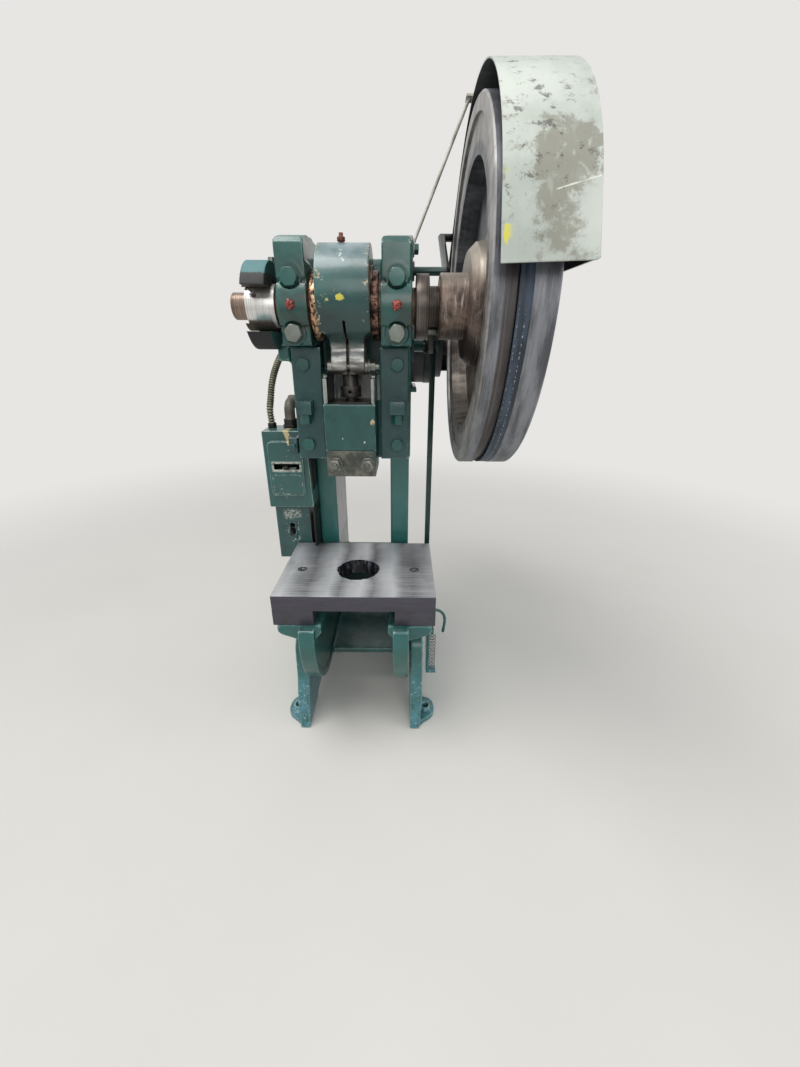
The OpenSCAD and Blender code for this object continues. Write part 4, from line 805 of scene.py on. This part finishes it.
def ribbed_hose(name, node, mat, points, radius, rib, pitch):
    """A hose with rings round it, its own cross-section carried along the path."""
    per_rib, sides = 6, 20
    path = smooth_path(points, pitch / per_rib)
    bm = bmesh.new()
    side = None
    rings = []
    for i, at in enumerate(path):
        along = (path[min(i + 1, len(path) - 1)] - path[max(i - 1, 0)]).normalized()
        side = (side - along * side.dot(along) if side else along.orthogonal()).normalized()
        up = along.cross(side)
        r = radius + rib * math.sin(math.tau * i / per_rib)
        points = [at + (side * math.cos(t) + up * math.sin(t)) * r for t in turns(sides)]
        rings.append([bm.verts.new(point) for point in points])
    join_rings(bm, rings)
    bmesh.ops.recalc_face_normals(bm, faces=bm.faces)
    obj = built(name, bm)
    ribs = [0.5 + 0.5 * math.sin(math.tau * i / per_rib) for i in range(len(path)) for _ in range(sides)]
    store(obj, "rib", "POINT", ribs)
    shade(obj, 60)
    ready(obj, node, mat)


def dabs(name, node, mat, places, size):
    """Lumps of hardened grease."""
    bm = bmesh.new()
    for n, at in enumerate(places):
        for v in bmesh.ops.create_icosphere(bm, subdivisions=4, radius=1)["verts"]:
            rough = noise.fractal(v.co * 1.7 + Vector((n * 3.1, 0.4, 7.7)), 0.7, 2.1, 4)
            v.co = Vector(at) + Vector([c * s for c, s in zip(v.co, size)]) * (0.92 + 0.3 * rough)
    obj = built(name, bm)
    shade(obj, 180)
    ready(obj, node, mat)


def stage():
    """Floor, light, world and camera."""
    scene = bpy.context.scene
    scene.view_settings.view_transform = "Standard"
    world = bpy.data.worlds.new("world")
    scene.world = world
    world.use_nodes = True
    tree = world.node_tree
    tree.nodes.clear()
    kinds = ("OutputWorld", "Background", "Background", "LightPath", "Math", "MixShader")
    out, soft, seen, path, either, mixed = [tree.nodes.new("ShaderNode" + kind) for kind in kinds]
    soft.inputs[0].default_value = (0.93, 0.96, 1.0, 1)
    soft.inputs[1].default_value = 0.55
    seen.inputs[0].default_value = WALL
    either.operation = "MAXIMUM"
    for start, end in ((path.outputs["Is Camera Ray"], either.inputs[0]),
                       (path.outputs["Is Glossy Ray"], either.inputs[1]),
                       (either.outputs[0], mixed.inputs[0]), (soft.outputs[0], mixed.inputs[1]),
                       (seen.outputs[0], mixed.inputs[2]), (mixed.outputs[0], out.inputs[0])):
        tree.links.new(start, end)

    bm = bmesh.new()
    bmesh.ops.create_circle(bm, cap_ends=True, radius=14, segments=96)
    floor = built("floor", bm)
    floor.location.z = -0.0002
    f = Finish("floor", roughness=0.85)
    colour = f.mix(f.noise(3, 4), (214, 211, 205), (222, 219, 213))
    x, y, z = f.parts()
    away = f.length(x, y)
    glow = f.add("ShaderNodeEmission")
    glow.inputs[0].default_value = WALL
    floor.data.materials.append(f.done(colour, normal=f.bump(f.noise(300, 2), 0.0003, 0.2)))
    # far away the floor fades into the wall's colour
    seen_by = f.add("ShaderNodeLightPath").outputs["Is Camera Ray"]
    share = f.times(f.step(away, 0.75, 2.4), seen_by)
    fade = f.add("ShaderNodeMixShader", {0: share, 1: f.shader.outputs[0], 2: glow.outputs[0]})
    f.put(f.ending, fade.outputs[0])

    def lamp(name, at, target, size, power, colour=(1, 1, 1)):
        light = bpy.data.lights.new(name, "AREA")
        light.shape = "RECTANGLE"
        light.size, light.size_y = size
        light.energy = power
        light.color = colour
        obj = add_object(name, light)
        obj.location = at
        obj.rotation_euler = (Vector(target) - Vector(at)).to_track_quat("-Z", "Y").to_euler()

    lamp("panel", (-0.7, -0.5, 2.6), (0, 0, 0.5), (1.6, 1.0), 34, (1.0, 0.99, 0.96))
    lamp("front", (0.4, -2.6, 1.7), (0.05, 0, 0.5), (1.6, 1.2), 17, (1.0, 0.98, 0.95))
    lamp("side", (2.2, -0.6, 1.5), (0.1, 0, 0.6), (1.2, 1.2), 9)

    camera = bpy.data.cameras.new("camera")
    camera.sensor_fit = "HORIZONTAL"
    camera.sensor_width = 36
    camera.lens = 19.356
    camera.clip_start = 0.01
    obj = add_object("camera", camera)
    right = Vector((0.99996255, 0.00779303, 0.00376329))
    up = Vector((-0.00660443, 0.40618664, 0.91376627))
    back = Vector((0.00559241, -0.9137569, 0.4062229))
    turn = Matrix((right, up, back)).transposed()
    obj.matrix_world = Matrix.Translation((0.0825132, -0.8427612, 0.7107378)) @ turn.to_4x4()
    scene.camera = obj


stage()

# The finishes in use
GREEN = enamel("green_frame", chips=0.4, wear=0.45, grime=0.25, extra=frame_shade)
GREEN_LEG = enamel("green_legs", chips=0.6, wear=0.95, grime=0.25,
                   light=(38, 104, 102), dark=(22, 78, 76), extra=leg_shade)
GREEN_HEAD = enamel("green_head", chips=0.7, wear=0.5, grime=0.55, spots=0.6, oil=0.8)
GREEN_RAM = enamel("green_ram", chips=0.35, wear=0.55, grime=0.3,
                   light=(28, 78, 74), dark=(20, 60, 58), extra=dark_pocket)
GREEN_GIB = enamel("green_gibs", chips=0.45, wear=0.5, grime=0.3, light=(30, 72, 74), dark=(24, 60, 62))
GREEN_CLAMP = enamel("green_clamp", chips=0.3, wear=0.4, grime=0.5,
                     light=(40, 66, 60), dark=(30, 50, 46), extra=oily_clamp)
GREEN_BOX = enamel("green_boxes", chips=1.0, wear=1.1, grime=0.25,
                   light=(44, 88, 86), dark=(32, 70, 70), extra=box_marks)
GREEN_BOLT = enamel("green_bolts", chips=0.6, wear=0.6, grime=0.3, extra=bare_bolts)
GREEN_SHOE = enamel("green_shoes", chips=0.5, wear=0.6, grime=0.35,
                    light=(40, 88, 88), dark=(28, 66, 66), extra=shoe_shade, coat=0.0, dull=0.3)
GREEN_BAR = enamel("green_bar", chips=0.3, wear=0.4, grime=0.4,
                   light=(26, 66, 60), dark=(16, 46, 42), extra=far_bar)
DARK_GREEN = enamel("green_rod", chips=0.3, wear=0.4, grime=0.7, light=(26, 56, 54), dark=(14, 34, 34))
PITMAN = enamel("pitman_enamel", chips=0.75, wear=0.55, grime=0.35,
                light=(44, 96, 92), dark=(24, 64, 62), extra=bare_clamp)
belt_low, belt_high = [pick(v.co.x for v in nodes["drive_belt"].data.vertices) for pick in (min, max)]
WHEEL = wheel_iron(belt_low)
GUARD = guard_paint()
BELT = belt_rubber(belt_low, belt_high)
BOLSTER = bolster_steel()
RISER = riser_steel()
ALL_WAYS = (60, 60, 60)  # blotches in place of fine marks
DRUM = steel("drum_steel", (196, 194, 190), (246, 245, 243), (900, 200, 1), stain=0.12, centre=AXIS)
COLLAR = steel("collar_steel", (66, 60, 56), (128, 120, 114), (700, 200, 1), stain=0.45, centre=AXIS)
SHAFT = steel("shaft_steel", (96, 76, 62), (156, 140, 128), (700, 200, 1), stain=0.4, centre=AXIS,
              extra=crust)
BOLT = steel("bolt_steel", (92, 96, 92), (160, 162, 156), ALL_WAYS, stain=0.25, stain_colour=(50, 70, 62))
NUT = steel("nut_steel", (84, 88, 84), (146, 148, 142), ALL_WAYS, stain=0.45, stain_colour=(58, 54, 46))
DARK = steel("dark_steel", (44, 42, 40), (84, 80, 76), ALL_WAYS, stain=0.4, metallic=0.6)
ZINC = steel("zinc_steel", (124, 124, 122), (176, 176, 174), ALL_WAYS, stain=0.2)
MOTOR = plain("motor_paint", (18, 21, 24), (40, 45, 48), rough=0.45, speck=(96, 92, 84), speck_share=0.2)
STAY = plain("stay_wire", (150, 146, 136), (202, 198, 190), rough=0.45, metallic=0.2, scale=40)
ELBOW = plain("elbow_paint", (74, 72, 66), (122, 118, 108), metallic=0.2, scale=40,
              speck=(44, 40, 36), speck_share=0.4, below=0.5765)
BLACK = plain("black_plastic", (14, 14, 15), (34, 34, 36), rough=0.4, scale=50)
CONDUIT = plain("conduit_steel", (96, 94, 78), (150, 146, 124), rough=0.45, metallic=0.3, scale=60,
                groove=(40, 40, 32))
BRONZE = steel("bronze", (54, 38, 30), (134, 88, 62), (60, 200, 200), metallic=0.7)
LINING = plain("lining", (52, 44, 36), (84, 72, 58), rough=0.85, scale=80)
RED = plain("red_plug", (112, 34, 34), (168, 70, 62), rough=0.6, scale=120,
            speck=(214, 176, 160), speck_share=0.8)
BROWN = plain("brown_plug", (94, 50, 40), (138, 84, 68), rough=0.6, scale=120)

# The castings, with the cuts and additions that the photograph shows
low_wall = brick(-0.0566, 0.0566, 0.14, 0.2, 0.236, 0.345)
lug_end = brick(-0.15, -0.1125, -0.13, -0.0925, 0.66, 0.7075)
pockets = [brick(x, x + 0.0225, 0.03, 0.16, 0.285, 0.55) for x in (-0.08, 0.0575)]
cast("frame_casting", GREEN, 0.0026, passes=3, share=0.44, cuts=[low_wall, lug_end], adds=pockets)


def leg_shift(x, y, z):
    """The legs' rims a little wider and their feet a little narrower than the CAD's."""
    out = abs(x)
    if out > 0.14:
        out = 0.14 + (out - 0.14) * 0.61
    elif 0.1185 < out < 0.1195 and z > 0.014:
        out += 0.005
    return math.copysign(out, x), y, z


for node in ("left_leg", "right_leg"):
    cast(node, GREEN_LEG, 0.0018, share=0.6, shift=leg_shift)

CAP_X = 0.073  # the cap bolts' and gib bolts' distance from the middle
CAP_FACE = -0.1698
UPPER, LOWER = 0.791, 0.722  # the cap bolts' heights
for hand, node in ((-1, "left_cap"), (1, "right_cap")):
    # the bolt heads' round seats are milled into the barrel of the cap
    x = hand * CAP_X
    cuts = [brick(x - 0.03, x + 0.03, -0.2, CAP_FACE - 0.0003, z, z + 0.06) for z in (0.785, 0.671)]
    cuts += [peg("y", x, z, 0.0146, -0.2, CAP_FACE) for z in (UPPER, LOWER)]
    if hand < 0:
        cuts.append(brick(-0.1, -0.0915, -0.25, -0.05, 0.6, 0.9))
    side = [(0.052, 0.79), (0.0915, 0.79)]
    side += arc(0.0865, 0.8345, 0.005, 0, 90, 6) + arc(0.0575, 0.8345, 0.0055, 90, 180, 6)
    horn = prism([(hand * x, z) for x, z in side], "y", CAP_FACE - 0.0001, -0.12)
    slope = [(-0.175, 0.832), (-0.1695, 0.832), (-0.162, 0.8405), (-0.162, 0.86), (-0.175, 0.86)]
    carve(horn, [prism(slope, "x", -0.12, 0.12)])
    cast(node, GREEN_HEAD, 0.0011, cuts=cuts, adds=[horn])

neck = [(0.0251, 0.64), (0.0251, 0.71)] + arc(0.0391, 0.71, 0.014, 180, 101.5)
neck += [(0.0363, 0.86), (0.06, 0.86), (0.06, 0.64)]
throat = [(-0.2, 0.7205), (-0.1735, 0.7205), (-0.1625, 0.715), (-0.1555, 0.7085), (-0.1535, 0.703),
          (-0.1545, 0.698), (-0.1575, 0.692), (-0.16, 0.6855), (-0.2, 0.6855)]
cuts = [prism([(hand * x, z) for x, z in neck], "y", -0.22, -0.06) for hand in (1, -1)]
cuts += [prism(throat, "x", -0.045, 0.045), brick(-0.0014, 0.0014, -0.21, -0.155, 0.7, 0.738)]
cast("pitman", PITMAN, 0.0012, share=0.6, cuts=cuts)
cast("ram", GREEN_RAM, 0.0013, passes=3, share=0.6)
cast("gib_plates", GREEN_GIB, 0.0015, passes=2)


def box_shift(x, y, z):
    """The boxes lower and wider than the CAD's, as in the photograph."""
    low = 0.009 if 0.4 < z < 0.425 else 0.012 if z < 0.305 else 0
    wide = -0.003 if x < -0.172 else 0.005 if x > -0.1165 and z < 0.425 else 0
    return x + wide, y, z - low


cast("starter_box", GREEN_BOX, 0.0012, share=0.4, shift=box_shift)
cast("switch_box", GREEN_BOX, 0.0012, share=0.5, shift=box_shift)
cast("box_covers", GREEN_BOX, 0.0009, share=0.5, shift=box_shift)


def shoe_shift(x, y, z):
    """Both shoes shorter than the CAD's along X, and the lower one's front lower."""
    return max(x, -0.138), y, min(z, 0.724) if y < -0.12 and z < AXIS_Z else z


cast("upper_shoe", GREEN_SHOE, 0.001, share=0.6, shift=shoe_shift)
cast("lower_shoe", GREEN_SHOE, 0.001, share=0.6, shift=shoe_shift)

# The bolster, with the torn edge of its burnt hole
hole = []
for t in turns(144):
    torn = 0.0014 * math.sin(13 * t) * noise.noise((t, 1.0, 2.0))
    r = 0.0392 + 0.0016 * noise.noise((2.2 * math.cos(t), 2.2 * math.sin(t), 0.3)) + torn
    hole.append((r * math.cos(t), AXIS_Y + r * math.sin(t)))
plate = crisp("bolster", BOLSTER, width=0.0009)
carve(plate, [prism(hole, "z", 0.2, 0.4)])
shade(plate, 40)
face_mark(plate, "burnt", lambda at, out: abs(out.z) < 0.5 and math.hypot(at.x, at.y - AXIS_Y) < 0.044)
crisp("riser_bars", RISER, width=0.0009)
crisp("flywheel", WHEEL, width=0.0025, segments=3)


def guard_shift(x, y, z):
    """The guard's right side a little further out, and its lower front edge rising to the right."""
    rise = 0.003 * (x - 0.17) / 0.085 if y < -0.33 and z < 0.79 else 0
    return x + (0.005 if x > 0.2515 else 0), y, z + rise


def faces_in(at, out):
    """Whether a face of the guard is one of its inner ones."""
    y, z = at.y - AXIS_Y, at.z - AXIS_Z
    return (out.x < -0.7 and at.x > 0.2) or out.y * y + out.z * z < -0.5 * math.hypot(y, z)


sheet = crisp("guard_sheet", GUARD, width=0.0005, shift=guard_shift)
below = [(-0.45, 0.69), (-0.45, 0.7805), (-0.385, 0.781), (-0.285, 0.783), (-0.131, 0.7305), (-0.131, 0.69)]
carve(sheet, [prism(below, "x", 0.2572, 0.27)])
shade(sheet, 40)
face_mark(sheet, "inside", faces_in)

# Bolt heads, as (place, direction, flats, height, bare, spin)
FRONT = (0, -1, 0)
GIB_FACE = -0.128
heads = []
for x in (-CAP_X, CAP_X):
    heads += [((x, CAP_FACE, UPPER), FRONT, 0.022, 0.0105, 0.0, 0.2),
              ((x, CAP_FACE, LOWER), FRONT, 0.022, 0.0105, 1.0, 0.5),
              ((x, GIB_FACE, 0.555), FRONT, 0.019, 0.0078, 0.0, 0.3),
              ((x, GIB_FACE, 0.679), FRONT, 0.019, 0.0078, 0.0, 0.8),
              ((x, -0.141, 0.6055), (0, 0, -1), 0.0165, 0.015)]
heads.append(((0.097, -0.112, 0.833), (1, 0, 0), 0.013, 0.006))
bolts("head_bolt_heads", "head_bolts", GREEN_BOLT, heads)
plugs = [(x, -0.1835, 0.757) for x in (-CAP_X, CAP_X)]
dabs("grease_dabs", "grease_plugs", RED, plugs, (0.0066, 0.0062, 0.0066))
route = [(-0.1685, -0.006, 0.568), (-0.1705, -0.003, 0.592), (-0.171, 0.012, 0.612), (-0.17, 0.028, 0.638),
         (-0.166, 0.05, 0.664), (-0.16, 0.082, 0.688), (-0.153, 0.126, 0.706), (-0.151, 0.176, 0.713),
         (-0.15, 0.216, 0.712), (-0.143, 0.24, 0.706), (-0.122, 0.247, 0.704)]
ribbed_hose("ribbed_conduit", "motor_conduit", CONDUIT, route, radius=0.0057, rib=0.001, pitch=0.005)

# Machined and bent parts that keep the shape of the CAD
for node, mat in (
    ("horn_screws", DARK), ("incline_bolts", GREEN_LEG), ("hold_down_screws", BOLT),
    ("crank_bushes", BRONZE), ("knockout_lugs", GREEN_GIB), ("brake_linings", LINING),
    ("guard_bar", GREEN_BAR), ("guard_stay", STAY), ("motor_mount", GREEN), ("motor_shell", MOTOR),
    ("motor_capacitor", BLACK), ("drive_belt", BELT), ("latch_bracket", GREEN_LEG),
    ("treadle_bracket", GREEN_LEG), ("treadle_spring", ZINC),
    ("clutch_collar", COLLAR), ("wheel_retainer", COLLAR), ("clutch_pin", BOLT), ("flywheel_bush", BRONZE),
    ("motor_pulley", DARK), ("motor_shaft", SHAFT), ("pinch_bolt", BOLT), ("oil_plug", BROWN),
    ("adjusting_screw", DARK), ("clamp_block", GREEN_CLAMP), ("clamp_studs", NUT), ("ball_retainer", DARK),
    ("starter_rocker", BLACK), ("switch_toggle", BLACK), ("trip_latch", DARK), ("treadle_lever", GREEN_LEG),
):
    crisp(node, mat, width=0.0005)

# Parts that differ from the CAD in some of their measures


def elbow_shift(x, y, z):
    """The elbow over the starter box and the nut between the boxes sit lower than the CAD's."""
    low = y < 0.12 and z > 0.585 or 0.417 < z < 0.421
    return x, y, z - (0.009 if low else 0)


def shaft_shift(x, y, z):
    """The crank webs thicker inward, and the shaft's left tail shorter."""
    if 0.0379 < abs(x) < 0.0385:
        x = math.copysign(0.0366, x)
    return x + (0.0065 if x < -0.16 else 0), y, z


def rod_shift(x, y, z):
    """The trip rod 10 mm wide."""
    x = 0.131 if 0.1335 < x < 0.1345 else 0.141 if 0.1385 < x < 0.1405 else x
    return x, y, z


def bell_shift(x, y, z):
    """The motor's right bell longer."""
    return x + (0.018 if x > 0.145 else 0.008 if x > 0.135 else 0), y, z


crisp("conduit_fittings", ELBOW, shift=elbow_shift)
crisp("crankshaft", SHAFT, shift=shaft_shift)
crisp("brake_drum", DRUM, shift=lambda x, y, z: (max(x, -0.142), y, z))
crisp("gib_clips", GREEN_GIB, shift=lambda x, y, z: (x, y, z - 0.019), drop=lambda co: co.x > 0)
crisp("box_bracket", BLACK, shift=lambda x, y, z: (x, y, z - 0.032 if z < 0.34 else z))
crisp("brake_bolt", BOLT, shift=lambda x, y, z: (x, y, z - 0.016 if z > 0.82 else z))
crisp("brake_spring", ZINC, shift=lambda x, y, z: (x, y, 0.796 + (z - 0.796) * 0.5 if z > 0.796 else z))
crisp("trip_rod", DARK_GREEN, shift=rod_shift)
crisp("motor_bells", MOTOR, width=0.003, segments=3, shift=bell_shift)

bpy.context.view_layer.update()
